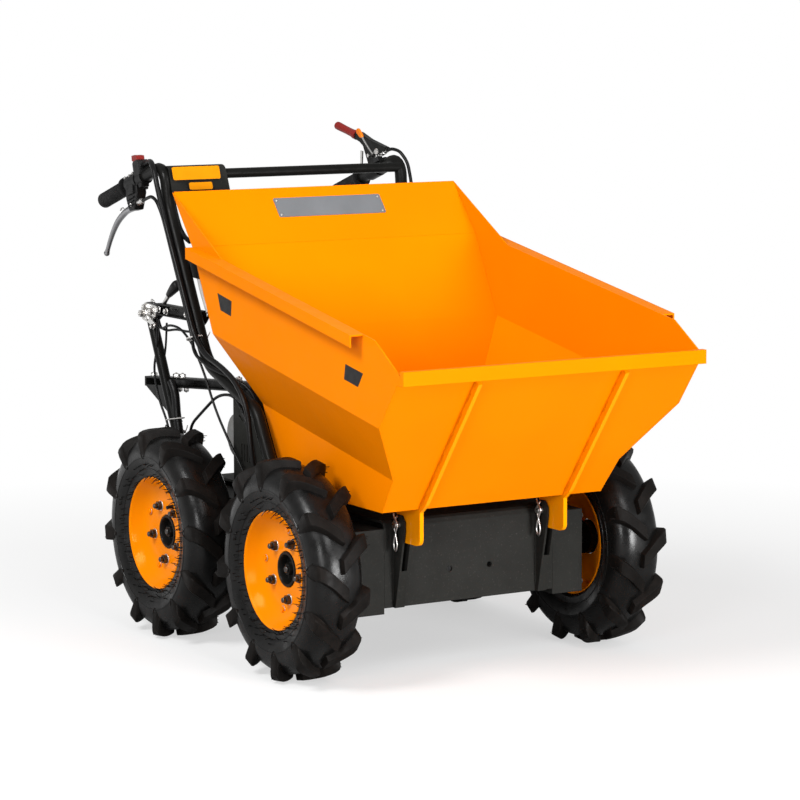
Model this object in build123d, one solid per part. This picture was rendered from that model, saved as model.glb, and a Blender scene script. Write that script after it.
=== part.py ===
from build123d import *
import os
from math import atan2, cos, hypot, pi, radians, sin, tan

os.makedirs("parts", exist_ok=True)

# Walk-behind four-wheel site dumper. Millimetres, +X forward, +Y to the machine's left, +Z up.
# The origin lies on the ground below the middle of the machine's length and width.

# ---------------------------------------------------------------- driving dimensions
half_length = 640.0            # front lip and grip ends, from the middle
wheelbase = 487.0
track = 658.0                  # between the tyres' middle planes
tyre_radius = 207.5            # over the lugs
tyre_width = 110.0
lug_height = 15.0
lugs_per_side = 12
rim_radius = 107.0
rim_half_width = 37.5
rim_sheet = 3.2
disc_offset = 6.0              # rim disc's inner face, outboard of the tyre's middle plane
disc_thickness = 4.0
rim_bore_radius = 30.0
stud_circle_radius = 45.5
hub_end = 24.0                 # outer end of the hub, from the tyre's middle plane
axle_radius = 12.5
running_clearance = 0.05       # radial, shaft in hub and pin in tab
face_gap = 0.3                 # between faces of pieces that move on each other

case_side_gap = 19.0           # between a tyre's inner side and its side case
case_width = 68.0
chassis_half_width = track / 2 - tyre_width / 2 - case_side_gap
case_inner_y = chassis_half_width - case_width
lid_thickness = 3.0
case_bottom = 123.0
case_top = 283.0
chassis_front = 340.0
chassis_rear = -350.0
deck_top = 297.0
sheet = 5.0
front_plate_bottom = 134.0
front_bend_radius = 12.0
hitch_hole_radius = 5.5
hitch_hole_spacing = 88.0
hitch_hole_height = 195.0

pivot_x = 362.0
pivot_z = 293.0
pin_radius = 6.0
tab_y = case_inner_y - 29.0    # hinge tabs' middle planes
tab_bottom = 260.0
tab_thickness = 8.0
tab_side_gap = 2.0
ear_thickness = 4.0
ear_reach = 40.0
swing_clearance = 6.0

skip_sheet = 3.0
skip_floor_z = 329.0
skip_floor_rear_x = 50.0
skip_floor_front_x = 423.0
skip_crease_half_width = 247.5 # at the lower crease, where the lower walls are widest
skip_upper_half_width = 325.0
skip_lip_z = 604.0
skip_lip_x = half_length - 10.0
lip_rise = 10.0                # lip above the front panel
skip_knee_x = -69.0            # lower bend of the back wall
skip_knee_z = 618.0
skip_shoulder_x = -149.0       # upper bend of the back wall
skip_shoulder_z = 777.0
skip_head_x = -233.0           # headboard's top edge
skip_head_z = 879.0
rake = 0.178                   # fall of rim and creases for each unit forward
rim_line_z = 757.0             # heights of rim and creases above the origin
upper_crease_z = 604.6
lower_crease_z = 480.4
lower_wall_tilt = 0.09
wing_front_x = -29.0
chamfer_top_x = 542.0
flange_width = 27.0
flange_drop = 22.0
flange_rear_x = -128.0
flange_front_x = 502.0
lip_height = 26.0
rib_depth = 12.0
rib_gap = 0.778                # between the lip and the ribs' upper ends

tube_radius = 12.5
grip_radius = 16.0
grip_length = 116.0
grip_run = 271.0               # from the grips' ends forward to the tubes' upper bend
grip_rise = 86.0
grip_end_z = 840.0
handle_y = 278.0
elbow_x = 285.0 - half_length  # corners of the handle tubes below the upper bend
elbow_z = 850.0
waist_x = -195.0
waist_z = 543.0
knee_x = 5.0
knee_z = 473.0
foot_x = 72.0
foot_z = 357.0
crossbar_radius = 10.0
crossbar_z = 905.0
label_near_y = -257.0
label_far_y = -134.0

post_radius = 11.0
shelf_height = 20.0
shelf_rise = 0.075             # rise of the side shelf for each unit forward
shelf_rear_x = -541.0
shelf_front_x = -80.0
shelf_rear_z = 461.0           # underside of the shelf at its rear end
guard_rear_x = -150.0
guard_depth = 41.0


# ---------------------------------------------------------------- helpers
def box(x0, x1, y0, y1, z0, z1):
    """Box between two opposite corners."""
    return Pos((x0 + x1) / 2, (y0 + y1) / 2, (z0 + z1) / 2) * Box(x1 - x0, y1 - y0, z1 - z0)


def inset(points, amount):
    """The same line moved to its left by amount, its corners mitred."""
    def left_normal(a, b):
        length = hypot(b[0] - a[0], b[1] - a[1])
        return (a[1] - b[1]) / length, (b[0] - a[0]) / length

    normals = [left_normal(a, b) for a, b in zip(points, points[1:])]
    moved = []
    for i, (u, v) in enumerate(points):
        before = normals[max(i - 1, 0)]
        after = normals[min(i, len(normals) - 1)]
        scale = amount / (1 + before[0] * after[0] + before[1] * after[1])
        moved.append((u + scale * (before[0] + after[0]), v + scale * (before[1] + after[1])))
    return moved


def side_plate(points, y0, y1):
    """Flat plate drawn in the XZ plane, filling y0 to y1."""
    outline = Plane.XZ * make_face(Polyline(*points, close=True))
    return extrude(Pos(0, y1, 0) * outline, y1 - y0, dir=(0, -1, 0))


def rod_y(x, z, radius, y0, y1):
    """Round bar along Y."""
    return Pos(x, (y0 + y1) / 2, z) * (Rot(90, 0, 0) * Cylinder(radius, y1 - y0))


def tube_along(points, radii, radius, sides):
    """Bar of many flat sides along straight runs joined by tangent arcs."""
    path = FilletPolyline(*points, radius=radii)
    start = Plane(origin=path @ 0, z_dir=path % 0)
    return sweep(start * RegularPolygon(radius, sides), path=path)


def drum(x, z, radius, y0, y1):
    """Short disc along Y with 24 flat sides."""
    outline = Plane.XZ * (Pos(x, z) * RegularPolygon(radius, 24))
    return extrude(Pos(0, y1, 0) * outline, y1 - y0, dir=(0, -1, 0))


def bar_between(a, b, radius):
    """Round bar from point a to point b."""
    length = (Vector(b) - Vector(a)).length
    middle = (Vector(a) + Vector(b)) * 0.5
    return Plane(origin=middle, z_dir=Vector(b) - Vector(a)) * Cylinder(radius, length)


def mirrored(shape):
    """The same piece on the machine's other side."""
    return mirror(shape, about=Plane.XZ)


def write(name, shape):
    export_step(shape, f"parts/{name}.step")


# ---------------------------------------------------------------- wheels
facets = 2 * lugs_per_side     # flats of the turned pieces, one for each lug
seat_radius = rim_radius - 7
well_radius = rim_radius - 15
bearing_face = chassis_half_width + 14.0
tyre_middle_to_bearing = track / 2 - bearing_face
rim_line = [
    (rim_radius, rim_half_width), (seat_radius, rim_half_width - 6), (well_radius, 12),
    (well_radius, -12), (seat_radius, 6 - rim_half_width), (rim_radius, -rim_half_width),
]


def faceted_ring(profile, sides):
    """Ring about Y with flat sides. The profile is closed, of (radius to the flats, y)."""
    step = 2 * pi / sides
    stretch = 1 / cos(step / 2)

    def corner(point, i):
        angle = (i - 0.5) * step
        return point[0] * stretch * sin(angle), point[1], -point[0] * stretch * cos(angle)

    faces = []
    for i in range(sides):
        for a, b in zip(profile, profile[1:] + profile[:1]):
            flat = [corner(a, i), corner(b, i), corner(b, i + 1), corner(a, i + 1)]
            faces.append(Face(Wire.make_polygon(flat, close=True)))
    return Solid(Shell(faces))


def lug():
    """Chevron lug of the outer row at the top of the tyre, its point leading towards +X."""
    half = tyre_width / 2
    root = tyre_radius - 4 * lug_height
    plan = [(27, -3), (3, -3), (-26, half * 0.56), (-38, half + 2), (-10, half + 2)]
    crown = [
        (-4, root), (-4, tyre_radius), (half * 0.6, tyre_radius),
        (half * 0.95, tyre_radius - 0.6 * lug_height), (half, tyre_radius - 2 * lug_height),
        (half * 0.9, root),
    ]
    block = extrude(Pos(0, 0, root) * make_face(Polyline(*plan, close=True)), 5 * lug_height)
    section = Plane.YZ * make_face(Polyline(*crown, close=True))
    return block & extrude(section, 40, both=True)


def tyre():
    """Carcass with two staggered rows of chevron lugs, its axis along Y, outer side at +Y."""
    half = tyre_width / 2
    base = tyre_radius - lug_height
    bead = inset(rim_line, rim_sheet / 2 + face_gap)
    side = [(rim_radius + 40, half * 0.95), (base - 20, half * 0.92), (base, half * 0.58)]
    profile = bead[1::-1] + side + [(r, -y) for r, y in reversed(side)] + bead[:3:-1]
    left = lug()
    right = Rot(0, 180 / lugs_per_side, 0) * mirrored(left)
    turns = [Rot(0, 360 / lugs_per_side * i, 0) for i in range(lugs_per_side)]
    lugs = [turn * block for turn in turns for block in (left, right)]
    return faceted_ring(profile, facets).fuse(*lugs)


def rim():
    """Drop-centre rim with its disc, axis along Y, outer side at +Y."""
    outer = inset(rim_line, rim_sheet / 2)
    inner = inset(rim_line, -rim_sheet / 2)[::-1]
    weld = inner[2][0]
    disc = [
        (weld, disc_offset), (rim_bore_radius, disc_offset),
        (rim_bore_radius, disc_offset + disc_thickness), (weld, disc_offset + disc_thickness),
    ]
    return faceted_ring(outer + inner[:3] + disc + inner[3:], facets)


def hub():
    """Flanged hub that turns on the axle; its flange bears on the rim disc's inner face."""
    inner = -tyre_middle_to_bearing + face_gap
    bore = axle_radius + running_clearance
    cap = rim_bore_radius - 4
    flange = stud_circle_radius + 11
    profile = [
        (bore, inner), (22, inner), (22, disc_offset - 8), (flange, disc_offset - 8),
        (flange, disc_offset), (cap, disc_offset), (cap, hub_end), (bore, hub_end),
    ]
    return faceted_ring(profile, 16)


def wheel_place(x, side):
    """Moves a wheel piece drawn at the origin to its place; side is +1 left, -1 right."""
    return Pos(x, side * track / 2, tyre_radius)


# ---------------------------------------------------------------- chassis
flange_half = 34.0             # half the side of the square axle bearing flanges


def drive_case():
    """Closed side case that carries both axles, left side."""
    body = box(chassis_rear, chassis_front, case_inner_y, chassis_half_width, case_bottom, case_top)
    ends = body.edges().filter_by(Axis.Y).sort_by(Axis.X)[:2]
    body = fillet(ends, 30)
    lid = box(
        chassis_rear + 25, chassis_front - 25, chassis_half_width, chassis_half_width + lid_thickness,
        case_bottom + 14, case_top - 14,
    )
    for x in (-wheelbase / 2, wheelbase / 2):
        body -= rod_y(x, tyre_radius, axle_radius, case_inner_y - 1, chassis_half_width + 1)
        seat = flange_half + 1
        lid -= box(
            x - seat, x + seat, case_inner_y, chassis_half_width + 2 * lid_thickness,
            tyre_radius - seat, tyre_radius + seat,
        )
    return body + lid


def axle(x):
    """Shaft through both cases with a bearing flange on each side and a nut at each end."""
    end = track / 2 + 30
    shaft = rod_y(x, tyre_radius, axle_radius, -end, end)
    pieces = []
    for side in (-1, 1):
        ends = sorted((side * chassis_half_width, side * bearing_face))
        pieces.append(box(
            x - flange_half, x + flange_half, ends[0], ends[1],
            tyre_radius - flange_half, tyre_radius + flange_half,
        ))
        ends = sorted((side * (track / 2 + hub_end + face_gap), side * (end + 3)))
        nut = Pos(x, ends[0], tyre_radius) * (Rot(-90, 0, 0) * RegularPolygon(16, 6))
        pieces.append(extrude(nut, ends[1] - ends[0], dir=(0, 1, 0)))
    return shaft.fuse(*pieces)


def swing_slot():
    """Space between the bracket's ears that the left hinge tab swings through."""
    half = tab_thickness / 2 + tab_side_gap
    tab_corner = hypot(skip_floor_front_x - pivot_x, pivot_z - tab_bottom)
    low = pivot_z - tab_corner - swing_clearance
    return box(pivot_x - 42, chassis_front + 1, tab_y - half, tab_y + half, low, deck_top + 5)


def deck():
    """Folded pan: deck, front plate and rear plate, with the hinge brackets on its front."""
    half = case_inner_y - face_gap
    bend = front_bend_radius
    outer = [
        (chassis_front, front_plate_bottom), (chassis_front, deck_top - bend),
        (chassis_front - 0.3 * bend, deck_top - 0.3 * bend), (chassis_front - bend, deck_top),
        (chassis_rear + bend, deck_top), (chassis_rear + 0.3 * bend, deck_top - 0.3 * bend),
        (chassis_rear, deck_top - bend), (chassis_rear, front_plate_bottom),
    ]
    pan = side_plate(outer + inset(outer, sheet)[::-1], -half, half)
    for side in (-1, 1):
        slot = swing_slot() if side > 0 else mirrored(swing_slot())
        pan -= slot
        pan -= Pos(chassis_front, side * hitch_hole_spacing / 2, hitch_hole_height) * (
            Rot(0, 90, 0) * Cylinder(hitch_hole_radius, 4 * sheet))
    return pan


def hinge_bracket():
    """Tapered channel on the front plate: two ears for the pin, closed below by a web, left."""
    inner = tab_y - tab_thickness / 2 - tab_side_gap
    outer = tab_y + tab_thickness / 2 + tab_side_gap
    top = pivot_z + 18
    reach = chassis_front + ear_reach
    outline = [
        (chassis_front, front_plate_bottom), (chassis_front + 8, front_plate_bottom),
        (reach, pivot_z - 12), (reach, pivot_z + 6), (pivot_x + 8, top),
        (pivot_x - 8, top), (chassis_front, pivot_z + 4),
    ]
    ears = side_plate(outline, inner - ear_thickness, inner)
    ears += side_plate(outline, outer, outer + ear_thickness)
    bore = rod_y(pivot_x, pivot_z, pin_radius, inner - 10, outer + 10)
    slope = (ear_reach - 8) / (pivot_z - 12 - front_plate_bottom)
    web_top = 205.0
    web_x = chassis_front + 8 + slope * (web_top - front_plate_bottom)
    web = side_plate(
        [
            (chassis_front + 8 - ear_thickness, front_plate_bottom),
            (chassis_front + 8, front_plate_bottom), (web_x, web_top),
            (web_x - ear_thickness, web_top),
        ],
        inner - ear_thickness, outer + ear_thickness,
    )
    return ears + web - bore


def hinge_pin():
    """Headed pin through the ears and the left hinge tab."""
    half = tab_thickness / 2 + tab_side_gap + ear_thickness
    pin = rod_y(pivot_x, pivot_z, pin_radius, tab_y - half - 12, tab_y + half)
    head = rod_y(pivot_x, pivot_z, 9, tab_y + half, tab_y + half + 5)
    return pin + head


# ---------------------------------------------------------------- skip
skip_outer_y = skip_upper_half_width + flange_width
skip_profile = [
    (skip_head_x, skip_head_z), (skip_shoulder_x, skip_shoulder_z),
    (skip_knee_x, skip_knee_z), (skip_floor_rear_x, skip_floor_z),
    (skip_floor_front_x, skip_floor_z), (skip_lip_x, skip_lip_z),
]


def rim_z(x):
    return rim_line_z - rake * x


def side_outline():
    """Outline of a side wall with its rear wing and front chamfer."""
    return skip_profile + [
        (chamfer_top_x, rim_z(chamfer_top_x)), (wing_front_x, rim_z(wing_front_x)),
    ]


def wall_section():
    """Cross-section line of the left wall in the YZ plane at x = 0, past the skip's floor and top."""
    low = skip_floor_z / 2
    low_y = skip_crease_half_width - lower_wall_tilt * (lower_crease_z - low)
    return [
        (low_y, low), (skip_crease_half_width, lower_crease_z),
        (skip_upper_half_width, upper_crease_z), (skip_upper_half_width, 2 * skip_head_z),
    ]


def raked(face):
    """Extrudes a YZ face along the rim's slope, over the machine's whole length."""
    start = Pos(-half_length, 0, half_length * rake) * face
    return extrude(start, 2 * half_length * hypot(1, rake), dir=(1, 0, -rake))


def side_wall():
    """Left wall: one sheet folded along both creases, with its rim flange."""
    section = wall_section() + inset(wall_section(), skip_sheet)[::-1]
    sheet_solid = raked(Plane.YZ * make_face(Polyline(*section, close=True)))
    return sheet_solid & side_plate(side_outline(), 0, skip_outer_y)


def rim_flange():
    """Folded rim of the left wall: out, then down."""
    y0 = skip_upper_half_width
    y1 = skip_outer_y
    section = [
        (y0, rim_line_z), (y1, rim_line_z), (y1, rim_line_z - flange_drop),
        (y1 - skip_sheet, rim_line_z - flange_drop), (y1 - skip_sheet, rim_line_z - skip_sheet),
        (y0, rim_line_z - skip_sheet),
    ]
    solid = raked(Plane.YZ * make_face(Polyline(*section, close=True)))
    return solid & box(flange_rear_x, flange_front_x, 0, 2 * y1, skip_floor_z, skip_head_z)


def inner_width():
    """Everything between the two side walls."""
    left = inset(wall_section(), skip_sheet)
    right = [(-y, z) for y, z in reversed(left)]
    return raked(Plane.YZ * make_face(Polyline(*(left + right), close=True)))


def panel(first, last):
    """Panels of the skip's side-view profile from point first to last, between the walls."""
    outer = skip_profile[first:last + 1]
    inner = inset(skip_profile, skip_sheet)[first:last + 1]
    solid = side_plate(outer + inner[::-1], -skip_outer_y, skip_outer_y)
    return solid & inner_width()


def skip_lip():
    """Folded front lip, proud of the front panel."""
    slope = (skip_lip_z - skip_floor_z) / (skip_lip_x - skip_floor_front_x)
    top = skip_lip_z + lip_rise
    low = top - lip_height
    back = skip_lip_x + (low - skip_lip_z) / slope
    points = [
        (half_length, top), (half_length, low), (back, low), (skip_lip_x, skip_lip_z),
        (skip_lip_x - skip_sheet, top),
    ]
    lip = side_plate(points, -skip_upper_half_width, skip_upper_half_width)
    return lip - side_wall() - mirrored(side_wall())


def rib_and_tab():
    """Upright rib on the front panel that runs down into a hinge tab, left."""
    along = Vector(skip_lip_x - skip_floor_front_x, 0, skip_lip_z - skip_floor_z).normalized()
    out = Vector(along.Z, 0, -along.X)
    foot = Vector(skip_floor_front_x, 0, skip_floor_z)
    top = Vector(skip_lip_x, 0, skip_lip_z) - along * ((lip_height - lip_rise + rib_gap) / along.Z)
    top_out = top + out * rib_depth
    foot_out = foot + out * rib_depth + along * 20
    front = skip_floor_front_x + 3
    rear = pivot_x - 14
    outline = Polyline(
        (top.X, top.Z), (top_out.X, top_out.Z), (foot_out.X, foot_out.Z),
        (front, skip_floor_z - 6), (front, tab_bottom + 14),
    )
    corner = ThreePointArc(
        (front, tab_bottom + 14), (front - 4, tab_bottom + 4), (front - 14, tab_bottom),
    )
    belly = Line((front - 14, tab_bottom), (rear + 28, tab_bottom))
    scallop = ThreePointArc(
        (rear + 28, tab_bottom), (rear + 13, tab_bottom + 4), (rear + 7, tab_bottom + 14),
    )
    lobe = ThreePointArc(
        (rear + 7, tab_bottom + 14), (rear, tab_bottom + 18), (rear + 1, tab_bottom + 26),
    )
    back = Polyline((rear + 1, tab_bottom + 26), (rear - 8, skip_floor_z), (foot.X, foot.Z),
                    (top.X, top.Z))
    face = make_face(outline + corner + belly + scallop + lobe + back)
    plate = extrude(Pos(0, tab_y + tab_thickness / 2, 0) * (Plane.XZ * face), tab_thickness,
                    dir=(0, -1, 0))
    bore_radius = pin_radius + running_clearance
    return plate - rod_y(pivot_x, pivot_z, bore_radius, tab_y - 20, tab_y + 20)


# ---------------------------------------------------------------- handles
grip_slope = atan2(grip_rise, grip_run)
grip_end_x = grip_radius * sin(grip_slope) - half_length
bend_x = grip_end_x + grip_run
bend_z = grip_end_z + grip_rise
bend_y = handle_y - 4
foot_y = chassis_half_width + lid_thickness + face_gap + tube_radius


def handle_tube():
    """Left handle tube with the plate that bolts its foot to the side case."""
    points = [
        (grip_end_x, handle_y, grip_end_z), (bend_x, bend_y, bend_z), (elbow_x, bend_y - 2, elbow_z),
        (waist_x, foot_y, waist_z), (knee_x, foot_y, knee_z), (foot_x, foot_y, foot_z),
    ]
    tube = tube_along(points, [30, 120, 90, 60], tube_radius, 16)
    inner = foot_y - tube_radius
    plate = side_plate(
        [
            (foot_x - 26, foot_z + 24), (foot_x + 6, foot_z + 4), (foot_x + 28, case_top - 20),
            (foot_x + 28, case_bottom + 60), (foot_x - 46, case_bottom + 60), (foot_x - 46, case_top - 20),
        ],
        inner, inner + 6,
    )
    return tube + plate


def tube_x(z):
    """Handle tube's middle line at height z, between its upper bend and its elbow."""
    return bend_x + (bend_z - z) * (elbow_x - bend_x) / (bend_z - elbow_z)


def by_grip(along, above):
    """Point (x, z) at a distance along the grip from the tube's end and above its axis."""
    x = grip_end_x + along * cos(grip_slope) - above * sin(grip_slope)
    return x, grip_end_z + along * sin(grip_slope) + above * cos(grip_slope)


def grip_plate(corners, inner, outer):
    """Plate beside the left grip with corners (along, above), from inner to outer off its axis."""
    return side_plate([by_grip(*corner) for corner in corners], handle_y + inner, handle_y + outer)


def on_grip(along, radius, length):
    """Disc or sleeve round the left grip's axis."""
    x, z = by_grip(along, 0)
    y = handle_y + (bend_y - handle_y) * along * cos(grip_slope) / grip_run
    direction = Vector(grip_run, bend_y - handle_y, grip_rise)
    return Plane(origin=(x, y, z), z_dir=direction) * Cylinder(radius, length)


def grip():
    """Rubber sleeve on the end of the left handle tube."""
    sleeve = on_grip(grip_length / 2, grip_radius, grip_length)
    collar = on_grip(grip_length - 4, grip_radius + 5, 8)
    return sleeve + collar - handle_tube()


def crossbar():
    """Bar between the handle tubes below their upper bends."""
    end = bend_y - 3
    bar = rod_y(tube_x(crossbar_z), crossbar_z, crossbar_radius, -end, end)
    return bar - handle_tube() - mirrored(handle_tube())


def label_panel():
    """Blank folded plate on two straps that sit on the crossbar near its right end."""
    x = tube_x(crossbar_z)
    top = crossbar_z + crossbar_radius + 10
    outline = [
        (x - 14, top), (x + 10, top), (x + 26, top - 52), (x + 23, top - 53),
        (x + 8, top - 3), (x - 14, top - 3),
    ]
    panel = side_plate(outline, label_near_y, label_far_y)
    for y in (label_near_y + 20, label_far_y - 20):
        panel += box(x - 14, x + 5, y - 8, y + 8, crossbar_z, top - 3)
    return panel - rod_y(x, crossbar_z, crossbar_radius, label_near_y, label_far_y)


def brake_lever():
    """Hand lever below the right grip with its perch round the tube, drawn at the left."""
    perch = grip_plate([(126, 8), (172, 8), (170, -30), (146, -56), (124, -52)], -13, 11)
    perch += on_grip(149, tube_radius + 5, 42)
    line = [(132, -50), (98, -46), (60, -52), (26, -64), (-6, -84), (-33, -108)]
    upper = [by_grip(*point) for point in line]
    blade = side_plate(upper + inset(upper, 8)[::-1], handle_y - 7, handle_y + 4)
    x0, z0 = by_grip(150, -43)
    x1, z1 = by_grip(178, -46)
    adjuster = bar_between((x0, handle_y + 2, z0), (x1, handle_y + 2, z1), 4.5)
    return perch + blade + adjuster - handle_tube() - grip()


def stop_switch():
    """Switch housing with its rocker on the right tube, drawn at the left."""
    body = grip_plate([(173, 8), (200, 8), (200, 36), (173, 36)], -14, 12)
    rocker = grip_plate([(166, 38), (190, 36), (190, 48), (170, 52)], -10, 8)
    band = on_grip(186, tube_radius + 3, 24)
    return body + rocker + band - handle_tube() - brake_lever()


def clutch_lever():
    """Long lever above the left grip, with its perch and sleeve."""
    perch = on_grip(175, tube_radius + 4, 40)
    perch += grip_plate([(158, 8), (196, 8), (190, 40), (166, 44)], -12, 8)
    outline = [(232, 22), (236, 32), (140, 92), (118, 96), (118, 86), (150, 44), (178, 26)]
    channel = grip_plate(outline, -9, 5)
    knee_at, knee_up = by_grip(124, 90)
    tip_at, tip_up = by_grip(48, 134)
    sleeve = bar_between((knee_at, handle_y - 2, knee_up), (tip_at, handle_y - 2, tip_up), 9)
    return perch + channel + sleeve - handle_tube()


def throttle_lever():
    """Small paddle on a clamp beside the clutch lever."""
    band = on_grip(214, tube_radius + 4, 20)
    pod = grip_plate([(204, 8), (224, 8), (224, 18), (204, 18)], -22, -9.5)
    arm = grip_plate([(200, 12), (208, 12), (184, 70), (158, 98), (148, 92), (176, 66)], -22, -14)
    return band + pod + arm - handle_tube()


# ---------------------------------------------------------------- rear right controls
post_y = 5.0 - chassis_half_width
post_head_x = -481.0
post_head_z = 610.0
post_foot_x = -365.0
post_foot_z = 372.0


def shelf_z(x):
    """Underside of the side shelf."""
    return shelf_rear_z + shelf_rise * (x - shelf_rear_x)


def shift_post():
    """Slanted tube that carries the gear lever, with its head plate."""
    points = [
        (post_head_x, post_y, post_head_z), (post_foot_x, post_y, post_foot_z),
        (post_foot_x + 16, post_y, case_top),
    ]
    tube = tube_along(points, [60], post_radius, 16)
    x, z = post_head_x, post_head_z
    head = side_plate(
        [
            (x - 22, z - 6), (x + 12, z - 12), (x + 42, z + 6),
            (x + 42, z + 26), (x - 8, z + 30), (x - 24, z + 18),
        ],
        post_y - 8, post_y + 8,
    )
    return tube + head


def shift_lever():
    """Gear lever and its knob."""
    foot = Vector(post_head_x + 44, post_y, post_head_z + 20)
    knob_start = foot + Vector(34, 0, 30)
    knob_end = foot + Vector(78, 0, 58)
    shaft = bar_between(foot, knob_start + Vector(8, 0, 6), 4.5)
    return shaft + bar_between(knob_start, knob_end, 10.5) - shift_post() - upper_stay()


def upper_stay():
    """Channel from the post's head to the handle tube."""
    rear = post_head_x + 42.3
    low = post_head_z + 8
    stay = box(rear, waist_x - 49, post_y - 10, post_y + 4, low, low + 24)
    stay -= box(rear + 10, waist_x - 84, post_y - 11, post_y + 1, low + 3, low + 21)
    return stay - mirrored(handle_tube())


def side_shelf():
    """Folded side shelf at the right with its triangular rear gusset."""
    inner = post_y + post_radius + 1.5
    low = [(shelf_rear_x, shelf_z(shelf_rear_x)), (shelf_front_x, shelf_z(shelf_front_x))]
    high = [(x, z + shelf_height) for x, z in reversed(low)]
    bar = side_plate(low + high, inner, inner + 24)
    cut = [(low[0][0] + 6, low[0][1] + 3), (low[1][0] - 6, low[1][1] + 3)]
    cut += [(x, z + shelf_height - 6) for x, z in reversed(cut)]
    bar -= side_plate(cut, inner - 1, inner + 21)
    gusset = side_plate(
        [
            (shelf_rear_x, shelf_z(shelf_rear_x) + 3), (shelf_rear_x + 110, shelf_z(shelf_rear_x + 110) + 3),
            (post_foot_x - 14, post_foot_z + 32), (post_foot_x - 34, post_foot_z + 28),
        ],
        inner, inner + 4,
    )
    return bar + gusset - shift_post()


def belt_guard():
    """Slotted belt cover on the right, standing on the side case below the shelf."""
    y0 = -(case_inner_y + 11 + guard_depth)
    y1 = y0 + guard_depth
    outline = [
        (26, case_top), (20, 360), (-30, 430), (shelf_front_x, shelf_z(shelf_front_x)),
        (guard_rear_x, shelf_z(guard_rear_x)), (guard_rear_x, case_top),
    ]
    cover = side_plate(outline, y0, y1) - side_plate(inset(outline, 3), y0 + 3, y1 + 1)
    for i in range(5):
        cover -= Pos(guard_rear_x + 34 + 11 * i, y0, 374) * Box(5, 20, 34)
    for i in range(7):
        turn = 150 - 22 * i
        angle = radians(turn)
        cover -= Pos(guard_rear_x + 62 + 34 * cos(angle), y0, 424 + 34 * sin(angle)) * (
            Rot(0, -turn, 0) * Box(20, 20, 4))
    return cover


# ---------------------------------------------------------------- control cables
# name: (radius, points from the control to the far end)
cables = {
    "cable_switch": (5.5, [
        (-450.9, -278, 921.7), (-436, -278, 926.5), (-414, -282, 931.5), (-391, -289, 928),
        (-373, -293, 913), (-361, -294, 888), (-347, -293, 853),
        (-330, -291, 812), (-213, -290, 597), (-172, -289, 563), (-104, -290, 548),
        (-40, -291, 524), (6, -292, 480), (18, -292, 414), (20, -286, 362),
        (23, -266, 322), (24, -251, 286.2),
    ]),
    "cable_brake": (3.5, [
        (-450.8, -280, 850.3), (-434, -280, 855.6), (-412, -281, 861), (-388, -282, 854), (-367, -281, 829),
        (-350, -280, 796), (-246, -279, 596), (-216, -290, 562), (-152, -290, 541),
        (-88, -278, 528), (-46, -253, 506), (-16, -248.5, 446), (0, -248, 372),
        (4, -248, 283.7),
    ]),
    "cable_shift_front": (2.5, [
        (-446.8, -254.5, 610.8), (-437, -257, 595.2), (-410, -262, 592), (-372, -265, 604),
        (-326, -264, 602), (-276, -263, 576),
        (-228, -262, 522), (-184, -260, 450), (-128, -257, 388), (-82, -252, 338), (-68, -250, 284.2),
    ]),
    "cable_shift_rear": (3.0, [
        (-40, -247, 284), (-50, -247, 356), (-74, -247, 430), (-124, -246, 486), (-200, -245, 480),
        (-272, -243, 438), (-336, -238, 402), (-355, -233, 346), (-358, -232, 283.7),
    ]),
    "cable_shift_arch": (2.5, [
        (-454.5, -247, 606.1), (-445, -247, 590.4), (-416, -248, 587), (-372, -247, 594),
        (-324, -245, 592), (-278, -243, 602),
        (-240, -242, 630), (-238, -242, 674), (-262, -242, 718),
    ]),
    "cable_clutch": (3.5, [
        (-418.6, 276, 937), (-402, 277, 941), (-381, 283, 937), (-361, 290, 915), (-350, 292, 876),
        (-330, 289, 810), (-214, 288, 596), (-174, 288, 563), (-104, 288, 542),
        (-44, 289, 518), (2, 289, 474), (14, 288, 408), (16, 283, 360),
        (18, 264, 320), (19, 250, 285.4),
    ]),
}


def cable(name, radius, points):
    """Plain six-sided control cable; each bend is as large as the runs beside it allow."""
    corners = [Vector(point) for point in points]
    radii = []
    for before, at, after in zip(corners, corners[1:], corners[2:]):
        turn = radians((at - before).get_angle(after - at))
        shorter = min((at - before).length, (after - at).length)
        radii.append(0.45 * shorter / tan(turn / 2))
    print(name, "bend radii", [round(value) for value in radii])
    return tube_along(points, radii, radius, 6)


# ---------------------------------------------------------------- engine
engine_x = -245.0
engine_rear = engine_x - 95
engine_front = engine_x + 95


def engine_block():
    """Crankcase with its feet and the finned cylinder leaning back."""
    crankcase = box(engine_rear, engine_front, -60, 110, deck_top + 12, 440)
    crankcase = fillet(crankcase.edges().filter_by(Axis.Y), 18)
    feet = box(engine_rear + 6, engine_front - 6, -50, 100, deck_top, deck_top + 12)
    shaft = rod_y(engine_x + 20, 390, 12, -185, -60)
    pulley = drum(engine_x + 20, 390, 45, -190, -160)
    cylinder = Pos(engine_x - 51, 25, 490) * (Rot(0, -20, 0) * Box(90, 110, 110))
    fins = [
        Pos(engine_x - 36 - 4.4 * i, 25, 448 + 12 * i) * (Rot(0, -20, 0) * Box(126, 140, 4))
        for i in range(8)
    ]
    return crankcase.fuse(feet, shaft, pulley, cylinder, *fins)


def blower_housing():
    """Fan housing with the recoil starter, on the left."""
    hub_x = engine_x + 5
    shell = drum(hub_x, 425, 118, 110.3, 185)
    shell += box(hub_x - 115, hub_x - 40, 110.3, 185, 425, 545)
    starter = drum(hub_x, 425, 82, 185, 214)
    boss = drum(hub_x, 425, 30, 214, 222)
    return shell + starter + boss


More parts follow.
